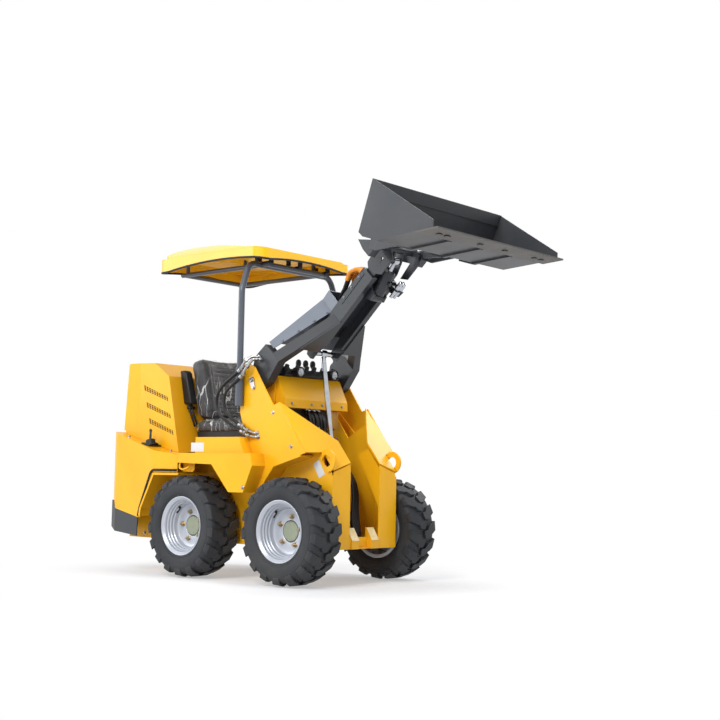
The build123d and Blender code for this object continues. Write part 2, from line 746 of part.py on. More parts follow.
disc_inset = disc_outset - disc_thickness
recess_face = disc_outset - hub_recess       # bottom of the recess in the disc
hub_face = recess_face - hub_wall - running_gap
well_inner = rim_well_radius - rim_wall
bead_inner = bead_radius - 1 - rim_wall
flange = rim_half_width
rim_profile = [
    (flange, rim_flange_radius), (flange - rim_wall, rim_flange_radius), (flange - rim_wall, bead_radius - 1),
    (58, bead_radius - 3), (48, rim_well_radius), (-10, rim_well_radius), (-20, bead_radius - 3),
    (rim_wall - flange, bead_radius - 1), (rim_wall - flange, rim_flange_radius), (-flange, rim_flange_radius),
    (-flange, bead_inner), (-24, bead_inner - 2), (-14, well_inner), (disc_inset, well_inner),
    (disc_inset, hub_recess_radius + hub_wall), (recess_face - hub_wall, hub_recess_radius + hub_wall),
    (recess_face - hub_wall, spindle_radius + running_gap),
    (disc_inset - hub_wall, spindle_radius + running_gap), (disc_inset - hub_wall, 0), (disc_inset, 0),
    (disc_inset, spindle_radius + hub_wall), (recess_face, spindle_radius + hub_wall),
    (recess_face, hub_recess_radius), (disc_outset, hub_recess_radius), (disc_outset, well_inner),
    (52, well_inner), (62, bead_inner - 2), (flange, bead_inner)]
wheels = [("fr", 0.0, -1), ("fl", 0.0, 1), ("rr", -wheelbase, -1), ("rl", -wheelbase, 1)]

for wheel_name, axle_x, y_sign in wheels:
    centre = (front_axle_x + axle_x, y_sign * track / 2, tyre_radius)
    with BuildPart() as tyre:
        add(tyre_form.part.moved(Location(centre)))
    tyre.part.label = f"tyre_{wheel_name}"
    export_step(tyre.part, f"parts/tyre_{wheel_name}.step")

    with BuildPart() as rim:
        with BuildSketch(Plane(origin=centre, x_dir=(0, y_sign, 0), z_dir=(y_sign, 0, 0))):
            with BuildLine():
                Polyline(*rim_profile, close=True)
            make_face()
        revolve(axis=Axis(centre, (0, 1, 0)))
    rim.part.label = f"rim_{wheel_name}"
    export_step(rim.part, f"parts/rim_{wheel_name}.step")

spindle_end = disc_inset - hub_wall - running_gap
with BuildPart() as drive_hubs:
    for wheel_name, axle_x, y_sign in wheels:
        hub_plane = Plane(origin=(front_axle_x + axle_x, y_sign * wall_outer_y, tyre_radius),
                          x_dir=(1, 0, 0), z_dir=(0, y_sign, 0))
        with BuildSketch(hub_plane):
            Circle(motor_radius)
        extrude(amount=track / 2 + hub_face - wall_outer_y)
        with BuildSketch(hub_plane):
            Circle(spindle_radius)
        extrude(amount=track / 2 + spindle_end - wall_outer_y)
drive_hubs.part.label = "drive_hubs"
export_step(drive_hubs.part, "parts/drive_hubs.step")

# ================================================================ boom
# Two arms lean inwards from the tower pins to a straight box, open below, that guides the inner boom.
boom_low = -boom_depth / 2
pad_u, pad_length = 820.0, 50.0
arm_inner_y = arm_outer_y - arm_width
arm_end = [(arm_fold_u, boom_low), (53, -70), (-30, -48), (-56, 0), (-34, 50), (45, 83), (82, 107), (189, 98),
           (195, 20), (arm_fold_u, boom_low)]
arm_plan = [(arm_fold_u - 0.1, arm_outer_y), (elbow_u, boom_half), (elbow_u + 30, boom_half),
            (elbow_u + 30, boom_half - boom_wall), (arm_fold_u + 290, boom_half - boom_wall),
            (arm_fold_u - 0.1, arm_inner_y)]
with BuildPart() as boom:
    for y_sign in (-1, 1):
        with BuildSketch(boom_side(y_sign * arm_outer_y)):
            with BuildLine():
                Polyline(*arm_end[:-1], close=True)
            make_face()
            Circle(boom_pin_radius + running_gap, mode=Mode.SUBTRACT)
        extrude(amount=y_sign * arm_width)
        with BuildSketch(boom_plan(boom_low)):
            with BuildLine():
                Polyline(*[(u, y_sign * y) for u, y in arm_plan], close=True)
            make_face()
        extrude(amount=20 - boom_low)
        # long side plate, which also carries the lift cylinder's pin
        with BuildSketch(boom_side(y_sign * boom_half)):
            with BuildLine():
                Polyline((lift_eye_u - 25, -30), (lift_eye_u - 15, -boom_depth / 2), (boom_end_u, boom_low),
                         (boom_end_u, -boom_low), (elbow_u - 60, -boom_low), (lift_eye_u, 22),
                         (lift_eye_u - 25, 5), close=True)
            make_face()
        extrude(amount=y_sign * boom_wall)
        # lower flange
        with BuildSketch(boom_plan(boom_low)):
            with BuildLine():
                Polyline((330, y_sign * 66), (boom_end_u, y_sign * 66), (boom_end_u, y_sign * boom_half),
                         (330, y_sign * boom_half), close=True)
            make_face()
        extrude(amount=boom_wall)
        # wear pads that guide the inner boom
        with BuildSketch(boom_side(y_sign * (boom_half - boom_wall))):
            with Locations((pad_u, 0)):
                Rectangle(pad_length, 2 * inner_top_v)
        extrude(amount=y_sign * (boom_half - boom_wall - inner_half - running_gap))
        # web between the arm and the box
        with BuildSketch(boom_plan(boom_low)):
            with BuildLine():
                Polyline((300, y_sign * 95), (300, y_sign * 260), (elbow_u, y_sign * boom_half),
                         (elbow_u, y_sign * 95), close=True)
            make_face()
        extrude(amount=-8)
    with BuildSketch(boom_plan(-boom_low)):
        with BuildLine():
            Polyline((352, -boom_half), (boom_end_u, -boom_half), (boom_end_u, boom_half), (352, boom_half),
                     close=True)
        make_face()
    extrude(amount=-boom_wall)
boom.part.label = "boom"
export_step(boom.part, "parts/boom.step")

# ================================================================ boom cover
cover_wall = 4.0
with BuildPart() as boom_cover:
    with BuildSketch(boom_side()):
        with BuildLine():
            Polyline((206, 47), (206, 99), (510, 150), (585, 154), (585, 47), close=True)
        make_face()
    extrude(amount=arm_outer_y, both=True)
    with BuildSketch(boom_plan(40)):
        with BuildLine():
            Polyline((200, -333), (520, -97), (590, -97), (590, 97), (520, 97), (200, 333), close=True)
        make_face()
    extrude(amount=120, mode=Mode.INTERSECT)
    cover_openings = [
        boom_cover.faces().sort_by(Axis((0, 0, 0), boom_up))[0],
        boom_cover.faces().sort_by(Axis((0, 0, 0), boom_dir))[0],
        boom_cover.faces().sort_by(Axis((0, 0, 0), boom_dir))[-1]]
    offset(amount=-cover_wall, openings=cover_openings)
boom_cover.part.label = "boom_cover"
export_step(boom_cover.part, "parts/boom_cover.step")

# Hoses that loop out of the cover and down into the box, each in an orange sleeve over its bend.
hose_radius = 9.0
hose_bend = 35.0
sleeve_wall = 4.0
hose_end_u = 790.0
hose_collar = 14.0
hose_loops = [(-44, 0, 0), (-14, 14, 8), (16, 4, -6), (46, -12, 4)]   # to the left, further up, further along
hose_routes = []
for hose_y, rise, ahead in hose_loops:
    route = [(548, 96), (640, 112 + rise), (735 + ahead, 150 + rise), (hose_end_u + ahead, 112),
             (hose_end_u + ahead, -boom_low)]
    hose_routes.append([boom_point(u, v, hose_y) for u, v in route])

with BuildPart() as boom_hoses:
    for corners in hose_routes:
        with BuildLine() as hose:
            FilletPolyline(*corners, radius=hose_bend)
        with BuildSketch(Plane(origin=hose.line @ 0, z_dir=hose.line % 0)):
            Circle(hose_radius)
        sweep(path=hose.line)
        with BuildSketch(Plane(origin=corners[-1], z_dir=boom_up)):
            Circle(hose_radius + 5)
        extrude(amount=hose_collar)
boom_hoses.part.label = "boom_hoses"
export_step(boom_hoses.part, "parts/boom_hoses.step")

with BuildPart() as hose_sleeves:
    for corners in hose_routes:
        with BuildLine() as sleeve:
            FilletPolyline((corners[1] + corners[2]) / 2, corners[2], corners[3], (corners[3] + corners[4]) / 2,
                           radius=hose_bend)
        with BuildSketch(Plane(origin=sleeve.line @ 0, z_dir=sleeve.line % 0)):
            Circle(hose_radius + sleeve_wall)
            Circle(hose_radius + running_gap, mode=Mode.SUBTRACT)
        sweep(path=sleeve.line)
hose_sleeves.part.label = "hose_sleeves"
export_step(hose_sleeves.part, "parts/hose_sleeves.step")

# ================================================================ inner boom
# Channel open below that slides in the boom box, with ears for the tilt cylinder and a fork for the carrier.
with BuildPart() as inner_boom:
    for y_sign in (-1, 1):
        with BuildSketch(boom_side(y_sign * inner_half)):
            with BuildLine():
                Polyline((362, inner_bottom_v), (boom_end_u + 40, inner_bottom_v), (carrier_pivot_u - 20, -10),
                         (carrier_pivot_u + 26, carrier_pivot_v), (carrier_pivot_u, carrier_pivot_v + 26),
                         (boom_end_u + 30, 60), (boom_end_u + 8, inner_top_v), (362, inner_top_v), close=True)
            make_face()
            with Locations((carrier_pivot_u, carrier_pivot_v)):
                Circle(carrier_pin_radius + running_gap, mode=Mode.SUBTRACT)
        extrude(amount=y_sign * inner_wall)
        with BuildSketch(boom_side(y_sign * 54)):
            with BuildLine():
                Polyline((tilt_base_u - 75, inner_top_v), (tilt_base_u + 60, inner_top_v),
                         (tilt_base_u + 26, tilt_base_v - 20), (tilt_base_u - 10, tilt_base_v - 26), close=True)
            make_face()
        extrude(amount=y_sign * 12)
    with BuildSketch(boom_plan(inner_top_v)):
        with BuildLine():
            Polyline((446, -inner_half), (900, -inner_half), (900, inner_half), (446, inner_half), close=True)
        make_face()
    extrude(amount=-inner_wall)
    tilt_base = boom_point(tilt_base_u, tilt_base_v)
    with BuildSketch(across(tilt_base, -54)):
        Circle(tilt_pin_radius)
    extrude(amount=108)
inner_boom.part.label = "inner_boom"
export_step(inner_boom.part, "parts/inner_boom.step")

# ================================================================ cylinders
# name, foot, far eye, barrel length, barrel radius, rod radius, foot pin radius, half width of the foot,
# radius of the far pin, half its length, radius of the rod's eye, length of rod that is in the barrel
tilt_ear_y = 30.0
carrier_pivot = boom_point(carrier_pivot_u, carrier_pivot_v)
base_line = tilt_base - carrier_pivot
crank_angle = atan2(base_line.Z, base_line.X) + radians(tilt_crank_angle)
tilt_eye = carrier_pivot + Vector(cos(crank_angle), 0, sin(crank_angle)) * tilt_crank
lift_eye = boom_point(lift_eye_u, lift_eye_v)
cylinders = [
    ("lift", lift_base, lift_eye, lift_barrel_length, lift_barrel_radius, lift_rod_radius, lift_pin_radius,
     44 - side_gap, 15.0, boom_half - boom_wall - side_gap, 22.0, 68.0),
    ("tilt", tilt_base, tilt_eye, tilt_barrel_length, tilt_barrel_radius, tilt_rod_radius, tilt_pin_radius,
     42 - side_gap, 12.0, tilt_ear_y - side_gap, 20.0, 100.0)]
for (cyl_name, foot, eye, barrel_length, barrel_radius, rod_radius, foot_pin, foot_half,
     eye_pin, eye_half, eye_radius, rod_inside) in cylinders:
    reach = (eye - foot).length
    along = (eye - foot).normalized()
    # barrel with its foot boss
    with BuildPart() as barrel:
        with BuildSketch(Plane(origin=foot + along * (foot_pin + 10), z_dir=along)):
            Circle(barrel_radius)
        extrude(amount=barrel_length - foot_pin - 10)
        with BuildSketch(across(foot, -foot_half)):
            Circle(foot_pin + 12)
        extrude(amount=2 * foot_half)
        with BuildSketch(Plane(origin=foot + along * (foot_pin + 14), z_dir=along)):
            Circle(rod_radius + running_gap)
        extrude(amount=barrel_length, mode=Mode.SUBTRACT)
        with BuildSketch(across(foot, -foot_half)):
            Circle(foot_pin + running_gap)
        extrude(amount=2 * foot_half, mode=Mode.SUBTRACT)
    barrel.part.label = f"{cyl_name}_barrel"
    export_step(barrel.part, f"parts/{cyl_name}_barrel.step")
    # rod with its eye and pin
    rod_start = barrel_length - rod_inside
    with BuildPart() as rod:
        with BuildSketch(Plane(origin=foot + along * rod_start, z_dir=along)):
            Circle(rod_radius)
        extrude(amount=reach - rod_start)
        with BuildSketch(across(eye, -eye_radius)):
            Circle(eye_radius)
        extrude(amount=2 * eye_radius)
        with BuildSketch(across(eye, -eye_half)):
            Circle(eye_pin)
        extrude(amount=2 * eye_half)
    rod.part.label = f"{cyl_name}_rod"
    export_step(rod.part, f"parts/{cyl_name}_rod.step")

# ================================================================ tool carrier
# Two hooked cheeks outside the inner boom's fork, a cross tube between two horns that lie in the back of
# the bucket, and the ears of the tilt rod.
carrier_x = carrier_pivot.X - front_axle_x
carrier_z = carrier_pivot.Z
cheek_y, cheek_wall = 118.0, 8.0
horn_y, horn_wall = 234.0, 54.0
cross_tube_x, cross_tube_z, cross_tube_radius = 385.0, 1838.0, 20.0
cheek_profile = [(-28, -20), (66, -48), (-2, -128), (48, -138), (130, -60), (112, 28), (40, 44), (-28, 26)]
horn_profile = [(294, 1872), (422, 1855), (404, 1806), (369, 1772), (330, 1812)]
with BuildPart() as tool_carrier:
    for y_sign in (-1, 1):
        with BuildSketch(side(y_sign * cheek_y)):
            with BuildLine():
                Polyline(*[(carrier_x + x, carrier_z + z) for x, z in cheek_profile], close=True)
            make_face()
        extrude(amount=y_sign * cheek_wall)
        with BuildSketch(across(carrier_pivot, y_sign * (inner_half - inner_wall))):
            Circle(carrier_pin_radius)
        extrude(amount=y_sign * (cheek_y + 8 - inner_half + inner_wall))
        with BuildSketch(side(y_sign * horn_y)):
            with BuildLine():
                Polyline(*horn_profile, close=True)
            make_face()
        extrude(amount=y_sign * horn_wall)
        # ear of the tilt rod
        with BuildSketch(side(y_sign * (tilt_ear_y + 12))):
            with BuildLine():
                Polyline((tilt_eye.X - front_axle_x - 16, tilt_eye.Z - 14),
                         (tilt_eye.X - front_axle_x + 12, tilt_eye.Z - 20),
                         (cross_tube_x + 18, cross_tube_z), (cross_tube_x - 16, cross_tube_z + 4), close=True)
            make_face()
        extrude(amount=y_sign * 12)
    with BuildSketch(Plane(origin=(front_axle_x + cross_tube_x, 0, cross_tube_z), x_dir=(1, 0, 0),
                           z_dir=(0, 1, 0))):
        Circle(cross_tube_radius)
    extrude(amount=horn_y - 4, both=True)
tool_carrier.part.label = "tool_carrier"
export_step(tool_carrier.part, "parts/tool_carrier.step")

# ================================================================ bucket
bucket_profile = [(671, 2093), (581, 1827), (609, 1801), (699, 1773), (1058, 1797), (1059, 1835)]
back_line = Vector(bucket_profile[0][0] - bucket_profile[1][0], bucket_profile[0][1] - bucket_profile[1][1])
back_dir = back_line.normalized()
rim_strip_depth, rim_strip_thickness = 64.0, 10.0
wear_strip_width, wear_strip_height = 26.0, 10.0
wear_strip_y = 272.0         # inside the tyres, which the lowered bucket comes down in front of
with BuildPart() as bucket:
    with BuildSketch(side()):
        with BuildLine():
            Polyline(*bucket_profile, close=True)
        make_face()
    extrude(amount=bucket_half, both=True)
    bucket_mouth = bucket.faces().sort_by(Axis((0, 0, 0), (0.55, 0, 0.83)))[-1]
    bucket_lip = bucket.faces().filter_by(lambda face: face.normal_at().X > 0.95)
    offset(amount=-bucket_plate, openings=[bucket_mouth, *bucket_lip])
    # strip along the top of the back, on its inside
    strip_top = Vector(*bucket_profile[0]) - back_dir * 2
    strip_low = strip_top - back_dir * rim_strip_depth
    inward = Vector(back_dir.Y, -back_dir.X) * (bucket_plate + rim_strip_thickness)
    with BuildSketch(side()):
        with BuildLine():
            Polyline(*[(corner.X, corner.Y) for corner in
                       (strip_top, strip_low, strip_low + inward, strip_top + inward)], close=True)
        make_face()
    extrude(amount=bucket_half - 1, both=True)
    # wear strips below the floor
    for strip_y in (-wear_strip_y, 0, wear_strip_y):
        with BuildSketch(side(strip_y)):
            with BuildLine():
                Polyline((609, 1801.5), (699, 1773.5), (950, 1790.3), (946, 1790 - wear_strip_height),
                         (698, 1773 - wear_strip_height), (607, 1801 - wear_strip_height), close=True)
            make_face()
        extrude(amount=wear_strip_width / 2, both=True)
    # brackets on the back that the carrier's cross tube hooks into
    for y_sign in (-1, 1):
        with BuildSketch(side(y_sign * (horn_y - horn_wall - running_gap))):
            with BuildLine():
                Polyline((588, 1824), (612, 1920), (470, 1872), (424, 1838), (430, 1812), (520, 1806), (598, 1806),
                         close=True)
            make_face()
        extrude(amount=y_sign * 14)
        with BuildSketch(side(y_sign * (horn_y + running_gap + 14))):
            with BuildLine():
                Polyline((588, 1824), (612, 1920), (400, 1872), (384, 1812), (430, 1794), (598, 1806),
                         close=True)
            make_face()
        extrude(amount=y_sign * 14)
bucket.part.label = "bucket"
export_step(bucket.part, "parts/bucket.step")

with BuildPart() as cutting_edge:
    with BuildSketch(side()):
        with BuildLine():
            Polyline((960, 1781), (1092, 1790), (1092, 1798), (1059, 1796.5), (960, 1789.9), close=True)
        make_face()
    extrude(amount=bucket_half + 5, both=True)
cutting_edge.part.label = "cutting_edge"
export_step(cutting_edge.part, "parts/cutting_edge.step")
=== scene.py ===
import json
import math

import bmesh
import bpy
from mathutils import Matrix, Vector, noise


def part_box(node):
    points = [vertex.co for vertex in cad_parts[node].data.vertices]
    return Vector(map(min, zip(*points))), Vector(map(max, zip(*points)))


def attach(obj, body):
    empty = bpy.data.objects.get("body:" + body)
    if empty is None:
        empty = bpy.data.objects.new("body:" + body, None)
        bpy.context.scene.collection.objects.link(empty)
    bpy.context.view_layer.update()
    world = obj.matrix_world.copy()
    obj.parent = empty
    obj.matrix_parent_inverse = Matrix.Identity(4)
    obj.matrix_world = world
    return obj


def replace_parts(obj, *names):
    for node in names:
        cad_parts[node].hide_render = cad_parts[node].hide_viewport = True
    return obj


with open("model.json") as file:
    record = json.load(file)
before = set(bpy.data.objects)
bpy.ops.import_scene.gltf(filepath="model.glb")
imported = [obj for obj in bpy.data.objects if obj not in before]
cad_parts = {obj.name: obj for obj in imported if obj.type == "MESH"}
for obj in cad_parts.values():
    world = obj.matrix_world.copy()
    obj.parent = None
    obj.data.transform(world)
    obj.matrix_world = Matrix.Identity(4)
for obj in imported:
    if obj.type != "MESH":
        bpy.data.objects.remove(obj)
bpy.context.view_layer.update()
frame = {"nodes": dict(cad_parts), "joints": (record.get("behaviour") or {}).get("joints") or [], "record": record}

nodes = frame["nodes"]
joints = {joint["name"]: joint for joint in frame["joints"]}
mm = 0.001
turnWhole = 2 * math.pi
wheelNames = ["fr", "fl", "rr", "rl"]
bothSides = ((-1, "right"), (1, "left"))
acrossWay = Vector((0, 1, 0))
upWay = Vector((0, 0, 1))
aheadWay = Vector((1, 0, 0))
frontAxle = Vector(joints["wheel_fr"]["pos_m"])
liftPin = Vector(joints["boom_lift"]["pos_m"])
boomDir = Vector(joints["boom_extend"]["axis"]).normalized()
boomUp = Vector((-boomDir.z, 0, boomDir.x))


def at(forward, left, up):  # millimetres forward of the front axle, to the left and above the ground
    return Vector((frontAxle.x + forward * mm, left * mm, up * mm))


def onBoom(along, above, left):  # millimetres along the boom from its lift pin, above its middle, left
    return liftPin + boomDir * (along * mm) + boomUp * (above * mm) + Vector((0, left * mm, 0))


def addNode(tree, kind, values=None, out=0, **settings):  # an output of a new node, its inputs set or joined
    node = tree.nodes.new(kind if "Node" in kind else "ShaderNode" + kind)
    for key, value in settings.items():
        setattr(node, key, value)
    for key, value in (values or {}).items():
        if isinstance(value, bpy.types.NodeSocket):
            tree.links.new(value, node.inputs[key])
        else:
            node.inputs[key].default_value = value
    return node.outputs[out]


def addMath(tree, operation, first, second, clamp=False):
    return addNode(tree, "Math", {0: first, 1: second}, operation=operation, use_clamp=clamp)


def addMix(tree, share, first, second, kind="RGBA"):
    return addNode(tree, "Mix", {"Factor": share, "A": first, "B": second}, "Result", data_type=kind)


def addNoise(tree, place, scale, detail, roughness=0.5, out=0):
    return addNode(tree, "TexNoise", {"Vector": place, "Scale": scale, "Detail": detail,
                                      "Roughness": roughness}, out)


def addRange(tree, value, low, high, toLow=0.0, toHigh=1.0, **settings):
    return addNode(tree, "MapRange", {"Value": value, "From Min": low, "From Max": high, "To Min": toLow,
                                      "To Max": toHigh}, **settings)


def anyOf(tree, path, operation, clamp=False):  # camera, glossy and transmission rays taken together
    both = addMath(tree, operation, path["Is Camera Ray"], path["Is Glossy Ray"], clamp)
    return addMath(tree, operation, both, path["Is Transmission Ray"], clamp)


# shader groups that the materials share

def startGroup(name, inputs, outputs):
    group = bpy.data.node_groups.new(name, "ShaderNodeTree")
    for label, value in inputs.items():
        kind = "NodeSocketColor" if isinstance(value, tuple) else "NodeSocketFloat"
        group.interface.new_socket(name=label, in_out="INPUT", socket_type=kind).default_value = value
    for label, kind in outputs.items():
        group.interface.new_socket(name=label, in_out="OUTPUT", socket_type="NodeSocket" + kind)
    place = addNode(group, "TexCoord", out="Object")
    return group, place, group.nodes.new("NodeGroupInput").outputs, group.nodes.new("NodeGroupOutput").inputs


def dustGroup():  # grime that gathers low down and in patches
    group, place, start, end = startGroup(
        "roadDust", {"Colour": (0.5, 0.5, 0.5, 1), "Dust": (0.22, 0.17, 0.12, 1), "Amount": 0.3, "Top": 0.8,
                     "Scale": 5.0}, {"Colour": "Color", "Mask": "Float"})
    broad = addNoise(group, place, start["Scale"], 6.0, 0.65)
    fine = addNoise(group, place, 95.0, 3.0)
    height = addNode(group, "SeparateXYZ", {"Vector": place}, "Z")
    low = addRange(group, height, 0.0, start["Top"], 1.0, 0.12)
    patch = addRange(group, broad, 0.42, 0.72)
    speck = addRange(group, fine, 0.35, 0.7, 0.55)
    lowPatch = addMath(group, "MULTIPLY", low, patch)
    mask = addMath(group, "MULTIPLY", addMath(group, "MULTIPLY", lowPatch, speck), start["Amount"], True)
    group.links.new(addMix(group, mask, start["Colour"], start["Dust"]), end["Colour"])
    group.links.new(mask, end["Mask"])
    return group


def rippleGroup():  # the slight ripple of sprayed paint, with broad dents below it
    group, place, start, end = startGroup(
        "paintRipple", {"Fine Scale": 260.0, "Broad Scale": 7.0, "Broad Share": 0.6}, {"Height": "Float"})
    fine = addNoise(group, place, start["Fine Scale"], 2.0)
    broad = addNoise(group, place, start["Broad Scale"], 1.0)
    group.links.new(addMix(group, start["Broad Share"], fine, broad, "FLOAT"), end["Height"])
    return group


def scuffGroup():  # thin scratches and rubbed patches
    group, place, start, end = startGroup("scuffs", {"Scale": 14.0, "Amount": 0.5}, {"Mask": "Float"})
    stretch = addNode(group, "Mapping", {"Vector": place, "Scale": (1.0, 7.0, 3.0),
                                         "Rotation": (0.4, 0.3, 0.7)})
    thin = addRange(group, addNoise(group, stretch, start["Scale"], 9.0, 0.72), 0.60, 0.72)
    where = addRange(group, addNoise(group, place, 3.0, 2.0), 0.45, 0.62)
    both = addMath(group, "MULTIPLY", thin, where)
    group.links.new(addMath(group, "MULTIPLY", both, start["Amount"], True), end["Mask"])
    return group


def pebbleGroup():  # pebbled grain of vinyl, rubber and moulded plastic
    group, place, start, end = startGroup("pebbleGrain", {"Scale": 700.0}, {"Height": "Float"})
    cells = addNode(group, "TexVoronoi", {"Vector": place, "Scale": start["Scale"]})
    group.links.new(addMath(group, "ADD", cells, addNoise(group, place, start["Scale"], 3.0)), end["Height"])
    return group


roadDust = dustGroup()
paintRipple = rippleGroup()
scuffs = scuffGroup()
pebbleGrain = pebbleGroup()


# materials

def startMaterial(name, values):
    material = bpy.data.materials.new(name)
    material.use_nodes = True
    shader = material.node_tree.nodes["Principled BSDF"].inputs
    for key, value in values.items():
        shader[key].default_value = value
    return material, material.node_tree, shader


def toneNoise(tree, colour, otherColour, scale):  # two tones in soft patches
    patch = addNoise(tree, addNode(tree, "TexCoord", out="Object"), scale, 4.0)
    return addMix(tree, addRange(tree, patch, 0.35, 0.65), (*colour, 1), (*otherColour, 1))


def addBump(tree, shader, height, strength, distance):
    tree.links.new(addNode(tree, "Bump", {"Height": height, "Strength": strength, "Distance": distance}),
                   shader["Normal"])


def roughenBy(tree, shader, mask, roughness, more):  # roughness that rises with a mask
    tree.links.new(addRange(tree, mask, 0.0, 1.0, roughness, min(1.0, roughness + more)),
                   shader["Roughness"])


paintLook = {
    "dust": 0.25, "dustTop": 0.9, "dustScale": 5.0, "dustColour": (0.30, 0.22, 0.14), "scuff": 0.12,
    "scuffScale": 14.0, "scuffColour": (0.20, 0.17, 0.13), "roughness": 0.32, "roughen": 0.45, "peel": 240.0,
    "bump": 0.10, "metallic": 0.0, "coat": 0.14, "coatRoughness": 0.12, "patch": 3.0, "specular": 0.32}


def paintMaterial(name, colour, otherColour, **changes):  # paint with dust, scuffs and ripple
    look = paintLook | changes
    material, tree, shader = startMaterial(name, {
        "Metallic": look["metallic"], "Coat Weight": look["coat"], "Coat Roughness": look["coatRoughness"],
        "Specular IOR Level": look["specular"]})
    tones = toneNoise(tree, colour, otherColour, look["patch"])
    dust = addNode(tree, "Group", {"Colour": tones, "Dust": (*look["dustColour"], 1), "Amount": look["dust"],
                                   "Top": look["dustTop"], "Scale": look["dustScale"]}, "Colour",
                   node_tree=roadDust)
    scuff = addNode(tree, "Group", {"Scale": look["scuffScale"], "Amount": look["scuff"]}, node_tree=scuffs)
    tree.links.new(addMix(tree, scuff, dust, (*look["scuffColour"], 1)), shader["Base Color"])
    roughenBy(tree, shader, dust.node.outputs["Mask"], look["roughness"], look["roughen"])
    ripple = addNode(tree, "Group", {"Fine Scale": look["peel"], "Broad Share": 0.55}, node_tree=paintRipple)
    addBump(tree, shader, ripple, look["bump"], 0.0012)
    return material


def grainMaterial(name, colour, otherColour, roughness, grain, strength):
    material, tree, shader = startMaterial(name, {"Roughness": roughness, "Specular IOR Level": 0.3})
    tree.links.new(toneNoise(tree, colour, otherColour, 8.0), shader["Base Color"])
    addBump(tree, shader, addNode(tree, "Group", {"Scale": grain}, node_tree=pebbleGrain), strength, 0.0006)
    return material


def metalMaterial(name, colour, otherColour, roughness, patch=30.0, scuff=0.2):
    material, tree, shader = startMaterial(name, {"Metallic": 1.0})
    tree.links.new(toneNoise(tree, colour, otherColour, patch), shader["Base Color"])
    scratch = addNode(tree, "Group", {"Scale": 40.0, "Amount": scuff}, node_tree=scuffs)
    roughenBy(tree, shader, scratch, roughness, 0.4)
    ripple = addNode(tree, "Group", {"Fine Scale": 420.0, "Broad Share": 0.2}, node_tree=paintRipple)
    addBump(tree, shader, ripple, 0.05, 0.0006)
    return material


machineYellow = paintMaterial("machineYellow", (0.90, 0.46, 0.010), (0.84, 0.41, 0.008), dust=0.16,
                              specular=0.22, coat=0.10)
roofYellow = paintMaterial("roofYellow", (0.92, 0.52, 0.016), (0.88, 0.47, 0.012), dust=0.04, roughness=0.22,
                           coat=0.4, bump=0.16, peel=120.0)
boomGrey = paintMaterial("boomGrey", (0.030, 0.034, 0.041), (0.022, 0.025, 0.031), dust=0.22, dustTop=2.2,
                         dustColour=(0.12, 0.11, 0.10), roughness=0.34, coat=0.10, scuff=0.25,
                         scuffColour=(0.10, 0.09, 0.08))
bucketGrey = paintMaterial("bucketGrey", (0.052, 0.056, 0.064), (0.040, 0.044, 0.051), dust=0.42,
                           dustTop=3.0, dustColour=(0.13, 0.115, 0.10), roughness=0.42, coat=0.05,
                           scuff=0.35, patch=4.0, scuffColour=(0.14, 0.12, 0.10))
edgeGrey = paintMaterial("edgeGrey", (0.105, 0.098, 0.090), (0.080, 0.075, 0.070), dust=0.5, dustTop=3.0,
                         dustColour=(0.16, 0.14, 0.12), roughness=0.5, coat=0.0, scuff=0.5, patch=6.0,
                         scuffColour=(0.22, 0.20, 0.18))
# painted reflection: a lighter, bluer copy of the boom paint, for the sheen that light gives the boom cover and
# its bolts
litBoomGrey = paintMaterial("litBoomGrey", (0.150, 0.172, 0.212), (0.125, 0.145, 0.180), dust=0.15, dustTop=2.4,
                          dustColour=(0.16, 0.16, 0.17), roughness=0.30, coat=0.30, scuff=0.2,
                          scuffColour=(0.14, 0.14, 0.15))
# painted highlight: a lighter, bluer copy of the dark paint for the canopy frame, for the bluish-grey highlight on
# its posts
litFrameGrey = paintMaterial("litFrameGrey", (0.080, 0.092, 0.115), (0.065, 0.075, 0.095), dust=0.12, dustTop=1.6,
                          roughness=0.30, coat=0.25, scuff=0.2, scuffColour=(0.12, 0.12, 0.13))
wornSteel = metalMaterial("wornSteel", (0.40, 0.39, 0.37), (0.28, 0.27, 0.25), roughness=0.38, patch=12.0)
tyreRubber = paintMaterial("tyreRubber", (0.021, 0.024, 0.029), (0.030, 0.033, 0.038), dust=0.40,
                           dustTop=0.75, dustColour=(0.11, 0.10, 0.09), roughness=0.58, coat=0.0, scuff=0.2,
                           bump=0.35, scuffColour=(0.07, 0.07, 0.07), peel=320.0)
rimSilver = paintMaterial("rimSilver", (0.52, 0.55, 0.61), (0.46, 0.49, 0.55), dust=0.14, dustTop=0.6,
                          metallic=0.35, roughness=0.34, coat=0.15, scuff=0.1,
                          scuffColour=(0.24, 0.24, 0.24))
castGrey = paintMaterial("castGrey", (0.022, 0.023, 0.025), (0.034, 0.034, 0.034), dust=0.25, roughness=0.5,
                         coat=0.0, bump=0.4, peel=500.0, dustColour=(0.10, 0.08, 0.06))
hubGreen = paintMaterial("hubGreen", (0.34, 0.37, 0.27), (0.27, 0.30, 0.22), dust=0.2, dustTop=0.6,
                         roughness=0.5, coat=0.0, scuff=0.4, scuffColour=(0.45, 0.43, 0.37))
hardChrome = metalMaterial("hardChrome", (0.52, 0.54, 0.58), (0.44, 0.46, 0.50), roughness=0.10, scuff=0.1)
zincGold = metalMaterial("zincGold", (0.44, 0.34, 0.20), (0.34, 0.28, 0.20), roughness=0.32)
zincSilver = metalMaterial("zincSilver", (0.42, 0.42, 0.43), (0.32, 0.32, 0.32), roughness=0.28)
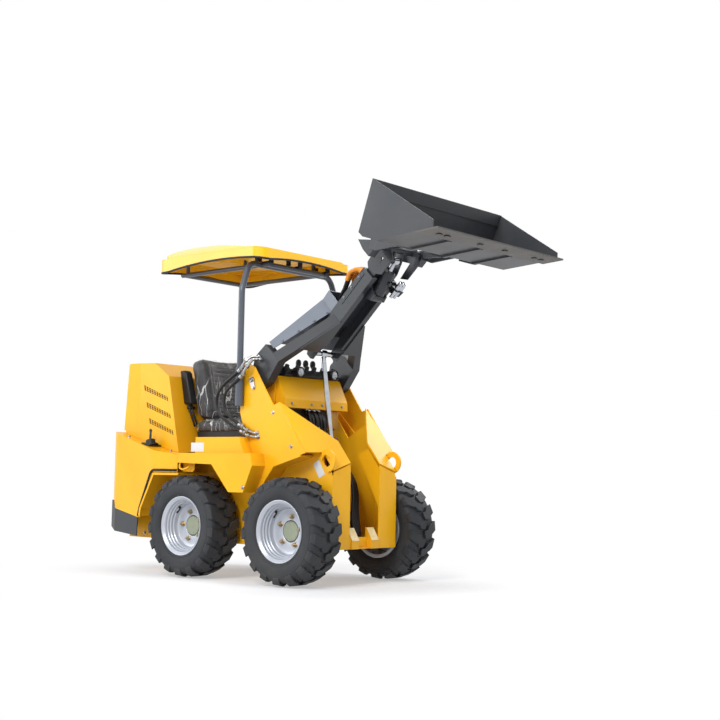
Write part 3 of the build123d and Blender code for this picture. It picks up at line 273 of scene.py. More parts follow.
# painted highlight: pale cream, lighter than the yellow paint, where light falls on upward slopes; its darker
# scuffs are wear
restHighlightPaint = paintMaterial("restHighlightPaint", (0.86, 0.72, 0.42), (0.80, 0.60, 0.26), dust=0.2, scuff=0.8,
                         scuffScale=30.0, scuffColour=(0.45, 0.36, 0.24), patch=30.0)
seatVinyl = grainMaterial("seatVinyl", (0.012, 0.013, 0.015), (0.018, 0.019, 0.021), 0.42, 520.0, 0.35)
blackPlastic = grainMaterial("blackPlastic", (0.010, 0.010, 0.012), (0.016, 0.016, 0.018), 0.44, 900.0, 0.15)
hoseRubber = grainMaterial("hoseRubber", (0.008, 0.008, 0.009), (0.014, 0.014, 0.014), 0.42, 1500.0, 0.2)
orangeSleeve = grainMaterial("orangeSleeve", (0.72, 0.27, 0.02), (0.60, 0.21, 0.02), 0.45, 800.0, 0.2)
blankLabel = grainMaterial("blankLabel", (0.70, 0.72, 0.75), (0.62, 0.64, 0.67), 0.35, 300.0, 0.03)

# CAD slots and the material that each CAD node gets
slotMaterials = {
    "yellow_paint": machineYellow, "canopy_shell": roofYellow, "dark_paint": boomGrey,
    "bucket_paint": bucketGrey, "bare_steel": wornSteel, "tyre": tyreRubber, "wheel_paint": rimSilver,
    "drive_paint": castGrey, "engine_paint": castGrey, "valve_paint": castGrey, "rod_chrome": hardChrome,
    "seat_vinyl": seatVinyl, "black_plastic": blackPlastic, "hose_rubber": hoseRubber,
    "orange_sleeve": orangeSleeve}
for part in frame["record"]["subparts"]:
    mesh = nodes[part["node"]].data
    mesh.materials.clear()
    mesh.materials.append(slotMaterials[part["material_slot"]])
nodes["cutting_edge"].data.materials[0] = edgeGrey
# painted highlight: the boom cover and the canopy frame get lighter copies of the dark paint
nodes["boom_cover"].data.materials[0] = litBoomGrey
nodes["canopy_frame"].data.materials[0] = litFrameGrey
print("materials placed on", len(nodes), "nodes")


# makers of meshes and pieces

def linkObject(name, data):
    made = bpy.data.objects.new(name, data)
    bpy.context.scene.collection.objects.link(made)
    return made


def evaluatedMesh(piece):
    return bpy.data.meshes.new_from_object(piece.evaluated_get(bpy.context.evaluated_depsgraph_get()))


def rideWithSlot(piece, body):
    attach(piece, body)


def meshFrom(name, points, faces):
    mesh = bpy.data.meshes.new(name)
    mesh.from_pydata([tuple(point) for point in points], [], faces)
    mesh.update()
    return mesh


def meshFromBmesh(name, bm, recalculate=True):
    if recalculate:
        bmesh.ops.recalc_face_normals(bm, faces=bm.faces)
    mesh = bpy.data.meshes.new(name)
    bm.to_mesh(mesh)
    bm.free()
    return mesh


def dressMesh(mesh, material, smooth):
    mesh.materials.clear()
    mesh.materials.append(material)
    for polygon in mesh.polygons:
        polygon.use_smooth = smooth


def softenEdges(piece, width, segments=2, angle=35.0):
    bevel = piece.modifiers.new("softEdges", "BEVEL")
    bevel.width = width * mm
    bevel.segments = segments
    bevel.limit_method = "ANGLE"
    bevel.angle_limit = math.radians(angle)
    bevel.harden_normals = False


# soft gives the width, segments and angle of a bevel, sharp the angle from which edges stay sharp
def addPiece(shape, name, material, body="machine", smooth=True, soft=(), sharp=0):
    mesh = shape if isinstance(shape, bpy.types.Mesh) else meshFromBmesh(name, shape)
    piece = linkObject(name, mesh)
    dressMesh(mesh, material, smooth)
    rideWithSlot(piece, body)
    if soft:
        softenEdges(piece, *soft)
    if sharp:
        mesh.set_sharp_from_angle(angle=math.radians(sharp))
    return piece


def addRing(bm, first, second, count):  # a band of faces between two loops
    for k in range(count):
        j = (k + 1) % count
        bm.faces.new((first[k], first[j], second[j], second[k]))


def addPrism(bm, outline, direction):  # closed prism from an outline of points and a thickness vector
    low = [bm.verts.new(point) for point in outline]
    high = [bm.verts.new(point + direction) for point in outline]
    bm.faces.new(low)
    bm.faces.new(high)
    addRing(bm, low, high, len(outline))


def addPlate(bm, pairs, left, thick):  # prism from an outline in the side view, at a place to the left
    addPrism(bm, [at(forward, left, up) for forward, up in pairs], Vector((0, thick * mm, 0)))


def sideWays(axis):  # two directions across an axis
    helper = upWay if abs(axis.z) < 0.9 else aheadWay
    first = axis.cross(helper).normalized()
    return first, axis.cross(first)


def addTube(bm, path, radius, sides=14, closed=False):  # round tube through points, mitred at its corners
    rings = []
    count = len(path)
    normal = None
    for i, point in enumerate(path):
        before = path[i - 1] if i or closed else path[i]
        after = path[(i + 1) % count] if i + 1 < count or closed else path[i]
        forward = (after - before).normalized()
        if normal is None:
            normal = sideWays(forward)[0]
        normal = (normal - forward * normal.dot(forward)).normalized()
        other = forward.cross(normal)
        turns = [turnWhole * k / sides for k in range(sides)]
        rings.append([bm.verts.new(point + normal * (radius * mm * math.cos(turn))
                                   + other * (radius * mm * math.sin(turn))) for turn in turns])
    for i in range(count if closed else count - 1):
        addRing(bm, rings[i], rings[(i + 1) % count], sides)
    if not closed:
        bm.faces.new(rings[0])
        bm.faces.new(rings[-1])


def roundedPath(corners, radius, steps=8):  # straight runs joined by arcs
    path = [corners[0]]
    for i in range(1, len(corners) - 1):
        inDir = (corners[i] - corners[i - 1]).normalized()
        outDir = (corners[i + 1] - corners[i]).normalized()
        turn = inDir.angle(outDir)
        if turn < 0.02:
            continue
        limit = 0.49 * min((corners[i] - corners[i - 1]).length, (corners[i + 1] - corners[i]).length)
        reach = min(radius * mm * math.tan(turn / 2), limit)
        bend = reach / math.tan(turn / 2)
        start = corners[i] - inDir * reach
        side = (outDir - inDir * outDir.dot(inDir)).normalized()
        centre = start + side * bend
        for k in range(steps + 1):
            angle = turn * k / steps
            path.append(centre - side * (bend * math.cos(angle)) + inDir * (bend * math.sin(angle)))
    path.append(corners[-1])
    return path


def revolve(bm, profile, centre, axis, steps, cap=0.0):  # closed profile of (along axis, radius) pairs
    axis = axis.normalized()
    first, second = sideWays(axis)
    if cap:  # both ends run in to this radius
        profile = [(profile[0][0], cap), *profile, (profile[-1][0], cap)]
    rings = []
    for k in range(steps):
        turn = turnWhole * k / steps
        out = first * math.cos(turn) + second * math.sin(turn)
        rings.append([bm.verts.new(centre + axis * (along * mm) + out * (radius * mm))
                      for along, radius in profile])
    for k in range(steps):
        addRing(bm, rings[k], rings[(k + 1) % steps], len(profile))


# copies on points

def copyTree():  # one item on every point, its Z turned to the point's own direction
    tree = bpy.data.node_groups.new("copiesOnPoints", "GeometryNodeTree")
    for label, kind in (("Geometry", "Geometry"), ("Item", "Object"), ("Finish", "Material")):
        tree.interface.new_socket(name=label, in_out="INPUT", socket_type="NodeSocket" + kind)
    tree.interface.new_socket(name="Geometry", in_out="OUTPUT", socket_type="NodeSocketGeometry")
    start = tree.nodes.new("NodeGroupInput").outputs
    item = addNode(tree, "GeometryNodeObjectInfo", {"Object": start["Item"]}, "Geometry",
                   transform_space="ORIGINAL")
    facing = addNode(tree, "GeometryNodeInputNamedAttribute", {"Name": "facing"}, "Attribute",
                     data_type="FLOAT_VECTOR")
    turn = addNode(tree, "FunctionNodeAlignRotationToVector", {"Vector": facing}, axis="Z")
    copies = addNode(tree, "GeometryNodeInstanceOnPoints",
                     {"Points": start["Geometry"], "Instance": item, "Rotation": turn})
    real = addNode(tree, "GeometryNodeRealizeInstances", {"Geometry": copies})
    finish = addNode(tree, "GeometryNodeSetMaterial", {"Geometry": real, "Material": start["Finish"]})
    tree.links.new(finish, tree.nodes.new("NodeGroupOutput").inputs[0])
    return tree


def placeCopies(name, itemMesh, spots, material, body):  # spots: pairs of a point and a direction
    item = linkObject(name + "Item", itemMesh)
    mesh = meshFrom(name + "Points", [spot for spot, _ in spots], [])
    facing = mesh.attributes.new("facing", "FLOAT_VECTOR", "POINT")
    for element, (_, direction) in zip(facing.data, spots):
        element.vector = direction
    source = linkObject(name + "Source", mesh)
    modifier = source.modifiers.new("copies", "NODES")
    modifier.node_group = copiesOnPoints
    socket = {entry.name: entry.identifier for entry in copiesOnPoints.interface.items_tree
              if entry.in_out == "INPUT"}
    modifier[socket["Item"]] = item
    modifier[socket["Finish"]] = material
    made = evaluatedMesh(source)
    made.name = name
    for helper in (source, item):
        bpy.data.objects.remove(helper)
    rideWithSlot(linkObject(name, made), body)


def addLoops(bm, loops, count):  # loops joined one to the next, closed at both ends
    for first, second in zip(loops, loops[1:]):
        addRing(bm, first, second, count)
    bm.faces.new(loops[0])
    bm.faces.new(loops[-1])


def hexMesh(name, across, height, washer, washerHeight, stud=0.0, studHeight=0.0):  # millimetres
    bm = bmesh.new()
    turns = [k * math.pi / 3 for k in range(6)]
    hexagon = [Vector((across / 2 * mm * math.cos(turn), across / 2 * mm * math.sin(turn), 0))
               for turn in turns]
    high = (washerHeight + height) * mm
    rings = [(1.0, washerHeight * mm), (1.0, high - 0.18 * height * mm), (0.84, high)]
    addLoops(bm, [[bm.verts.new(corner * grow + upWay * up) for corner in hexagon] for grow, up in rings], 6)
    discs = [(washer, 0.0, washerHeight)]
    if stud:
        discs.append((stud, washerHeight + height * 0.9, washerHeight + height + studHeight))
    for radius, start, stop in discs:
        turns = [turnWhole * k / 20 for k in range(20)]
        profile = [(radius, start), (radius, stop - 0.5), (radius - 0.7, stop)]
        addLoops(bm, [[bm.verts.new((r * mm * math.cos(t), r * mm * math.sin(t), z * mm)) for t in turns]
                      for r, z in profile], 20)
    return meshFromBmesh(name, bm)


copiesOnPoints = copyTree()


# tyres

tyreLook = {"lugs": 17, "tip": 290.0, "foot": 268.0, "steps": 102, "shoulder": 104.5, "rollRadius": 280.0}
tyreSection = [  # outer half of the section: from the middle of the tread, radius
    (0, 274), (40, 273.5), (74, 271), (90, 267), (100, 259), (105.4, 246), (107, 232), (107.2, 214),
    (104.5, 196), (100, 182), (96, 179), (94.5, 172), (90, 168), (88, 156)]
lugOutline = [  # from the middle of the tread, along the tread
    (103, 0), (103, 54), (68, 72), (54, 72), (38, 96), (6, 96), (-6, 70), (-6, 54), (22, 50), (38, 24),
    (62, 18)]
shoulderOutline = [(94, 279), (102.5, 277.5), (107.4, 266), (108.8, 248), (106, 240), (98, 250)]
sidewallRings = [(105.8, 237.0, 2.4), (101.0, 187.0, 1.8), (97.0, 178.5, 2.0)]  # half width, radius, size


def makeTyre(name):
    centre = Vector(joints["wheel_" + name]["pos_m"])

    def place(across, radius, turn):
        return centre + Vector((radius * mm * math.cos(turn), across * mm, radius * mm * math.sin(turn)))

    bm = bmesh.new()
    steps = tyreLook["steps"]
    rollRadius = tyreLook["rollRadius"]
    section = [(-across, radius) for across, radius in reversed(tyreSection[1:])] + tyreSection
    rings = [[bm.verts.new(place(across, radius, turnWhole * k / steps)) for across, radius in section]
             for k in range(steps)]
    for k in range(steps):
        addRing(bm, rings[k], rings[(k + 1) % steps], len(section))
    for flank in (-1, 1):
        for halfWidth, radius, size in sidewallRings:
            around = [place(flank * halfWidth, radius, turnWhole * k / 90) for k in range(90)]
            addTube(bm, around, size, 6, True)
    for flank in (-1, 1):
        for k in range(tyreLook["lugs"]):
            start = turnWhole / tyreLook["lugs"] * (k + (0.5 if flank > 0 else 0.0))
            top = []
            foot = []
            for across, along in lugOutline:
                crown = 0.00000011 * across ** 4
                spread = 1.06 if 0 < along < 90 else 1.0
                top.append(bm.verts.new(place(flank * across, tyreLook["tip"] - crown,
                                              start - along / rollRadius)))
                reach = flank * min(across * spread + (3 if across < 50 else 0), tyreLook["shoulder"])
                grow = 4.0 if along > 45 else -4.0
                turn = start - (along + grow) / rollRadius
                foot.append(bm.verts.new(place(reach, tyreLook["foot"] - crown, turn)))
            addLoops(bm, [top, foot], len(lugOutline))
            addLoops(bm, [[bm.verts.new(place(flank * across, radius, start - along / rollRadius))
                           for across, radius in shoulderOutline] for along in (1, 52)],
                     len(shoulderOutline))
    tyre = addPiece(bm, "tyreTread_" + name, tyreRubber, "wheel_" + name, soft=(1.8, 2, 38.0), sharp=42)
    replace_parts(tyre, "tyre_" + name)


for wheelName in wheelNames:
    makeTyre(wheelName)
print("tyres made")


# rims, hub ends, nuts and valves

rimSection = [  # outer face: from the middle of the tyre outwards, radius
    (95, 168), (95, 163), (90, 158), (84, 149), (76, 146), (70, 146), (66, 141), (58, 139.5), (54, 140),
    (50, 134), (40, 133), (36, 133.5), (32, 128), (16, 126.5), (8, 122), (4, 112), (3, 96), (2, 62),
    (0, 59), (-30, 58), (-33, 57), (-33, 40), (-12, 37), (-12, 0.4)]
rimInside = [(-18, 0.4), (-18, 34), (-39, 36), (-39, 63), (-5, 64), (-4, 118), (0, 134), (30, 134),
             (48, 139), (60, 150), (86, 152), (88.6, 168)]
rimBarrel = [(-88.6, 168), (-95, 168), (-95, 147), (-24, 145), (-6, 136), (-6, 134), (-20, 150),
             (-88.6, 152)]
hubLook = {"nuts": 5, "nutCircle": 80.0, "nutSeat": 2.4, "faceRadius": 54.0, "faceDepth": 3.0, "screws": 8,
           "screwCircle": 44.0, "frontTurn": 10, "rearTurn": 31, "valveTurn": 128}
nutMesh = hexMesh("wheelNutItem", 24, 13, 15, 2.5, 7, 7)


def makeWheelTrim(name):
    body = "wheel_" + name
    centre = Vector(joints[body]["pos_m"])
    out = acrossWay * (1 if centre.y > 0 else -1)

    def spoke(turn):
        return Vector((math.cos(turn), 0, math.sin(turn)))

    bm = bmesh.new()
    revolve(bm, rimSection + rimInside, centre, out, 96)
    revolve(bm, rimBarrel, centre, out, 96)
    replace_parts(addPiece(bm, "rimDish_" + name, rimSilver, body, soft=(1.2, 2, 25.0)), "rim_" + name)

    bm = bmesh.new()
    face = hubLook["faceRadius"]
    depth = hubLook["faceDepth"]
    revolve(bm, [(-30, face), (depth - 2, face), (depth, face - 3)], centre, out, 64, 0.4)
    for k in range(hubLook["screws"]):
        turn = turnWhole * k / hubLook["screws"] + 0.2
        spot = centre + spoke(turn) * (hubLook["screwCircle"] * mm) + out * mm
        revolve(bm, [(0, 0.3), (0, 3.8), (3.2, 3.4), (4.0, 0.3)], spot, out, 12)
    revolve(bm, [(0, 0.3), (0, 12), (4.2, 11), (5.0, 0.3)], centre, out, 24)
    addPiece(bm, "hubEnd_" + name, hubGreen, body, sharp=30)

    first = math.radians(hubLook["frontTurn"] if name[0] == "f" else hubLook["rearTurn"])
    turns = [first + turnWhole * k / hubLook["nuts"] for k in range(hubLook["nuts"])]
    seat = centre + out * (hubLook["nutSeat"] * mm)
    spots = [(seat + spoke(turn) * (hubLook["nutCircle"] * mm), out) for turn in turns]
    placeCopies("wheelNuts_" + name, nutMesh, spots, zincGold, body)

    # valve: stem through the dish with its cap
    inwards = spoke(math.radians(hubLook["valveTurn"])) * -1
    foot = centre + inwards * (-130 * mm) + out * (34 * mm)
    bm = bmesh.new()
    path = roundedPath([foot, foot + inwards * (12 * mm) + out * (5 * mm),
                        foot + inwards * (30 * mm) + out * (30 * mm)], 20)
    addTube(bm, path, 4.2, 12)
    addTube(bm, [path[-1], path[-1] + (path[-1] - path[-2]).normalized() * (11 * mm)], 5.6, 12)
    addTube(bm, [foot - inwards * (4 * mm), foot + inwards * (4 * mm) + out * (2 * mm)], 8.5, 16)
    addPiece(bm, "valve_" + name, blackPlastic, body)


for wheelName in wheelNames:
    makeWheelTrim(wheelName)
print("wheels made")


# seat

seatLook = {"voxel": 0.006, "pressure": 4.0, "frames": 20, "shrink": 0.006, "rounding": 34, "dish": 0.016,
            "seam": 0.135, "groove": 0.006, "cap": 0.012, "margin": 0.002}


def bakeModifiers(piece):
    baked = evaluatedMesh(piece)
    piece.modifiers.clear()
    piece.data = baked


def makePad(name, node, front):
    low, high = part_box(node)
    middle = (Vector(low) + Vector(high)) / 2
    half = (Vector(high) - Vector(low)) / 2
    bm = bmesh.new()
    bm.from_mesh(nodes[node].data)
    bmesh.ops.remove_doubles(bm, verts=bm.verts, dist=0.0002)
    for vertex in bm.verts:
        offset = vertex.co - middle
        vertex.co = middle + Vector([offset[k] * (1 - seatLook["shrink"] / half[k]) for k in range(3)])
    pad = addPiece(bm, name, seatVinyl)
    remesh = pad.modifiers.new("remesh", "REMESH")
    remesh.mode = "VOXEL"
    remesh.voxel_size = seatLook["voxel"]
    bakeModifiers(pad)
    rest = [vertex.co.copy() for vertex in pad.data.vertices]
    cloth = pad.modifiers.new("puff", "CLOTH")
    cloth.settings.use_pressure = True
    cloth.settings.uniform_pressure_force = seatLook["pressure"]
    cloth.settings.effector_weights.gravity = 0.0
    for step in range(1, seatLook["frames"] + 1):
        bpy.context.scene.frame_set(step)
    bakeModifiers(pad)
    for vertex, start in zip(pad.data.vertices, rest):
        move = vertex.co - start
        if move.length > seatLook["cap"]:
            vertex.co = start + move.normalized() * seatLook["cap"]
    bpy.context.scene.frame_set(1)
    smooth = pad.modifiers.new("smooth", "SMOOTH")
    smooth.iterations = seatLook["rounding"]
    bakeModifiers(pad)
    corners = [[vertex.co[k] for vertex in pad.data.vertices] for k in range(3)]
    spans = [(min(corner), max(corner)) for corner in corners]
    margin = seatLook["margin"]
    for vertex in pad.data.vertices:  # smoothing has drawn the pad in: it is let out to its own width again
        for k in range(3):
            least, most = spans[k]
            share = (vertex.co[k] - least) / (most - least)
            vertex.co[k] = low[k] + margin + share * (high[k] - low[k] - 2 * margin)
    for vertex in pad.data.vertices:  # a dished middle between two bolsters, with a seam groove beside each
        across = abs(vertex.co.y)
        dish = seatLook["dish"] * max(0.0, 1 - (across / seatLook["seam"]) ** 4)
        groove = seatLook["groove"] * math.exp(-((across - seatLook["seam"]) / 0.006) ** 2)
        vertex.co -= front * (dish + groove) * max(0.0, vertex.normal.dot(front))
    pad.data.shade_smooth()
    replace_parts(pad, node)
    return pad


cushion = makePad("seatCushionPad", "seat_cushion", upWay)
backPad = makePad("seatBackPad", "seat_back", Vector((0.96, 0, 0.28)))


def makeArmrests():
    bm = bmesh.new()
    pads = [(-1078, 1008), (-1008, 1008), (-1062, 1196), (-1078, 1214), (-1121, 1214), (-1114, 1186)]
    for side in (-1, 1):
        addPlate(bm, pads, side * 249, side * -55)
    arms = addPiece(bm, "armrestPads", blackPlastic, soft=(11, 4))
    bakeModifiers(arms)
    bm = bmesh.new()
    bm.from_mesh(arms.data)
    for side in (-1, 1):
        for left in (211, 233):
            addTube(bm, roundedPath([at(-1054, side * left, 1056), at(-1044, side * left, 985),
                                     at(-985, side * left, 872)], 50), 6.5, 12)
        addTube(bm, [at(-1044, side * 240, 985), at(-1044, side * 192, 985)], 10, 14)
    mesh = meshFromBmesh("armrestPads", bm)
    dressMesh(mesh, blackPlastic, True)
    arms.data = mesh
    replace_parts(arms, "armrests")
    bm = bmesh.new()
    for side in (-1, 1):
        addPlate(bm, [(-990, 842), (-560, 842), (-548, 822), (-560, 796), (-975, 796)],
                 side * 196, side * 16)
    addPiece(bm, "seatRails", blackPlastic, smooth=False, soft=(2,))


makeArmrests()
print("seat padded")


# clear film over the seat

filmLook = {"lift": 0.0035, "crease": 0.007, "scale": 9.0, "width": 0.75, "alphaLow": 0.05,
            "glintAlpha": 0.70}


def filmMaterial():
    # clear film with painted highlights: its alpha rises along a stretched cell network, in patches, so whitish
    # streaks stand in for the glints off its creases
    material, tree, shader = startMaterial("clearFilm", {
        "Roughness": 0.10, "Specular IOR Level": 0.8, "Base Color": (0.80, 0.82, 0.85, 1)})
    place = addNode(tree, "TexCoord", out="Object")
    bent = addMix(tree, 0.16, place, addNoise(tree, place, 4.0, 2.0, out="Color"))
    stretch = addNode(tree, "Mapping", {"Vector": bent, "Scale": (4.4, 3.6, 0.8),
                                        "Rotation": (0.45, 0.2, 0.3)})
    cells = addNode(tree, "TexVoronoi", {"Vector": stretch, "Scale": 5.5}, "Distance",
                    feature="DISTANCE_TO_EDGE")
    where = addRange(tree, addNoise(tree, place, 7.0, 3.0), 0.40, 0.58)
    # painted highlight: whitish streaks along the cell edges
    glintStreak = addMath(tree, "MULTIPLY", addRange(tree, cells, 0.0, 0.038, 1.0, 0.0), where)
    tree.links.new(addRange(tree, glintStreak, 0.0, 1.0, filmLook["alphaLow"], filmLook["glintAlpha"]),
                   shader["Alpha"])
    ripple = addNode(tree, "Group", {"Fine Scale": 60.0, "Broad Scale": 16.0, "Broad Share": 0.6},
                     node_tree=paintRipple)
    addBump(tree, shader, ripple, 0.7, 0.006)
    return material


clearFilm = filmMaterial()


def makeFilm(name, pad):
    bm = bmesh.new()
    bm.from_mesh(pad.data)
    below = [face for face in bm.faces if face.normal.z < -0.45]
    bmesh.ops.delete(bm, geom=below, context="FACES")
    for vertex in bm.verts:
        spot = vertex.co * filmLook["scale"]
        fold = noise.ridged_multi_fractal(
            Vector((spot.x, spot.y * 1.3, spot.z * 0.55)), 1.0, 2.1, 3, 1.0, 2.0)
        vertex.co += vertex.normal * (filmLook["lift"] + filmLook["crease"] * min(1.0, max(0.0, fold - 0.6)))
    mesh = meshFromBmesh(name, bm, False)
    film = addPiece(mesh, name, clearFilm)


makeFilm("backFilm", backPad)
makeFilm("cushionFilm", cushion)
print("film draped")


# hood vents, roof trim and brackets

ventLook = {"rows": 2, "columns": 9, "along": (23.4, -7.9), "down": (3.2, -13.2), "thick": 1.6}
ventCentres = [(-1228, 1073), (-1199, 968), (-1170, 869)]


def ventCell():  # a slanted tile with an eight-sided hole, lying across the machine
    bm = bmesh.new()
    along, down = (Vector((ventLook[key][0], 0, ventLook[key][1])) * mm for key in ("along", "down"))
    outer = [(-0.5, -0.5), (0, -0.5), (0.5, -0.5), (0.5, 0), (0.5, 0.5), (0, 0.5), (-0.5, 0.5), (-0.5, 0)]
    inner = [(a * 0.66, b * 0.74) if a * b else (a * 0.84, b * 0.90) for a, b in outer]
    rings = [[bm.verts.new(along * a + down * b + acrossWay * (shift * ventLook["thick"] * mm))
              for a, b in loop] for shift in (-0.5, 0.5) for loop in (outer, inner)]
    for first, second in ((0, 1), (3, 2), (1, 3)):
        addRing(bm, rings[first], rings[second], 8)
    return meshFromBmesh("ventCell", bm)


def makeVents():
    low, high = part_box("hood")
    cell = ventCell()
    columns, rows = ventLook["columns"], ventLook["rows"]
    for side, label in bothSides:
        depth = (low[1] if side < 0 else high[1]) / mm - side * 2.4
        spots = []
        for forward, up in ventCentres:
            for row in range(rows + 1):
                for column in range(columns + 1):
                    a, b = column - columns / 2, row - rows / 2
                    spots.append((at(forward + a * ventLook["along"][0] + b * ventLook["down"][0], depth,
                                     up + a * ventLook["along"][1] + b * ventLook["down"][1]), upWay))
        bm = bmesh.new()
        for forward, up in ventCentres:
            corners = ((-130, 66), (-116, 14), (128, -66), (116, -16))
            addPlate(bm, [(forward + a, up + b) for a, b in corners], depth - side * 7, side * 3)
        addPiece(bm, "ventScreen_" + label, blackPlastic, smooth=False, soft=(0.8,))
        placeCopies("hoodVents_" + label, cell, spots, machineYellow, "machine")


makeVents()


def archHeight(place, begin, end, middle):  # height of a circular arch, from its middle and its two ends
    (x0, z0), (x1, z1), (x2, z2) = begin, middle, end
    d = 2 * (x0 * (z1 - z2) + x1 * (z2 - z0) + x2 * (z0 - z1))
    s0, s1, s2 = x0 * x0 + z0 * z0, x1 * x1 + z1 * z1, x2 * x2 + z2 * z2
    cx = (s0 * (z1 - z2) + s1 * (z2 - z0) + s2 * (z0 - z1)) / d
    cz = (s0 * (x2 - x1) + s1 * (x0 - x2) + s2 * (x1 - x0)) / d
    radius = math.hypot(x0 - cx, z0 - cz)
    return cz + math.sqrt(max(0.0, radius * radius - (place - cx) ** 2))


roofLook = {"rear": -1217, "front": -303, "rearHalf": 359, "frontHalf": 395, "corner": 57, "step": 30,
            "edgeRadius": 6.5, "clipAt": -410, "clipLength": 110, "clipWall": 14, "clipFoot": 1806}


def makeRoofTrim():
    rear, front, rearHalf, frontHalf = (roofLook[key] for key in ("rear", "front", "rearHalf", "frontHalf"))
    plan = [(rear, 0), (rear, rearHalf), (front, frontHalf), (front, -frontHalf), (rear, -rearHalf),
            (rear, 0)]
    rounded = roundedPath([Vector((x, y, 0)) * mm for x, y in plan], roofLook["corner"])[:-1]
    points = []
    for i, first in enumerate(rounded):
        second = rounded[(i + 1) % len(rounded)]
        pieces = max(1, int((second - first).length / mm / roofLook["step"]))
        for k in range(pieces):
            spot = first.lerp(second, k / pieces) / mm
            sideArch = archHeight(spot.x, (-1240, 1791), (-280, 1812), (-683, 1835))
            endArch = archHeight(spot.y, (-410, 1799), (410, 1799), (0, 1835))
            points.append(at(spot.x, spot.y, max(sideArch, endArch) - 1))
    bm = bmesh.new()
    addTube(bm, points, roofLook["edgeRadius"], 10, True)
    addPiece(bm, "roofEdgeRubber", hoseRubber)

    bm = bmesh.new()
    wall, foot = roofLook["clipWall"], roofLook["clipFoot"]
    rearEnd, frontEnd = (roofLook["clipAt"] + half * roofLook["clipLength"] for half in (-0.5, 0.5))
    for left, top in ((-240, 1850), (240, 1850), (0, 1868)):
        arch = [(rearEnd, foot), (frontEnd, foot), (frontEnd, top), (frontEnd - wall, top),
                (frontEnd - wall, foot + 12), (rearEnd + wall, foot + 12), (rearEnd + wall, top),
                (rearEnd, top)]
        addPlate(bm, arch, left - wall, 2 * wall)
    addPiece(bm, "roofBrackets", blackPlastic, smooth=False, soft=(2,))


makeRoofTrim()
print("roof trimmed")


# bolts

boltMesh = hexMesh("frameBolt", 17, 8, 11, 2.0)
smallBoltMesh = hexMesh("smallBolt", 12, 6, 8.5, 1.6)
frameBolts = ((-181, 378, 934), (-37, 378, 747), (-1374, 270, 222), (-300, 480, 520))
coverBolts = {"along": (262, 345, 430, 500), "above": 57, "wideFrom": 200, "half": 333, "taper": 0.7375}


def placeBolts():
    machine = []
    boom = []
    slant = (boomDir * 0.594 + Vector((0, 0.805, 0))).normalized()
    for side, _ in bothSides:
        out = acrossWay * side
        machine += [(at(forward, side * left, up), out) for forward, left, up in frameBolts]
        for along in coverBolts["along"]:
            left = coverBolts["half"] - (along - coverBolts["wideFrom"]) * coverBolts["taper"]
            way = Vector((slant.x, side * slant.y, slant.z))
            boom.append((onBoom(along, coverBolts["above"], side * left), way))
        boom += [(onBoom(along, 29, side * 108), out) for along in (640, 715, 790)]
    placeCopies("machineBolts", boltMesh, machine, zincSilver, "machine")
    console = [(at(-199, left, 995), aheadWay) for left in (-210, -48, 43, 210)]
    placeCopies("consoleBolts", smallBoltMesh, console, zincSilver, "machine")
    # the boom bolts take the lighter, painted-reflection copy of the boom paint
    placeCopies("boomBolts", smallBoltMesh, boom, litBoomGrey, "boom")


def makeEdgeSlotShade():  # painted shade: black patches on the underside of the cutting edge, for the shade inside its slots
    low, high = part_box("cutting_edge")
    bm = bmesh.new()
    for left in (-455, -390, -110, 110, 390, 455):
        turns = [math.radians(t) for t in range(0, 360, 30)]
        slot = [Vector((high[0] + (13 * math.cos(turn) - 75) * mm,
                        (left + 5 * math.sin(turn) + (14 if math.sin(turn) > 0 else -14)) * mm,
                        low[2] + 1.5 * mm)) for turn in turns]
        addPrism(bm, slot, Vector((0, 0, -2 * mm)))
    addPiece(bm, "edgeSlots", blackPlastic, "bucket", smooth=False, soft=(0.4,))


placeBolts()
makeEdgeSlotShade()


# plates, labels, rubber strips and switches

teardrop = [(-353 + 21 * math.cos(math.radians(t)), 1118 + 21 * math.sin(math.radians(t)))
            for t in range(-10, 200, 15)] + [(-349, 1074), (-338, 1063), (-326, 1069), (-325, 1082)]
smallPlates = [  # name, material, outline in the side view, left, thickness, edge width
    ("blankLabels_", blankLabel, [([(30, 655), (72, 678), (118, 600), (76, 577)], 270),
                                  ([(-765, 768), (-657, 768), (-657, 716), (-765, 716)], 452)],
     0.8, (0.3, 1)),
    ("wallBrace_", machineYellow, [([(-368, 948), (-354, 972), (-154, 772), (-174, 752)], 361)], 8, (1.5,))]
archLiner = {"arch": [(-1190, 335), (-1184, 380), (-1069, 593), (-842, 593)],
             "inner": [(-842, 590), (-1067, 590), (-1181, 380), (-1187, 335)],
             "flange": [(-842, 579), (-1061, 579), (-1170, 377), (-1176, 335)]}
archStrip = [(-851, 480, 608), (-1078, 480, 608), (-1202, 460, 381), (-1216, 458, 333)]


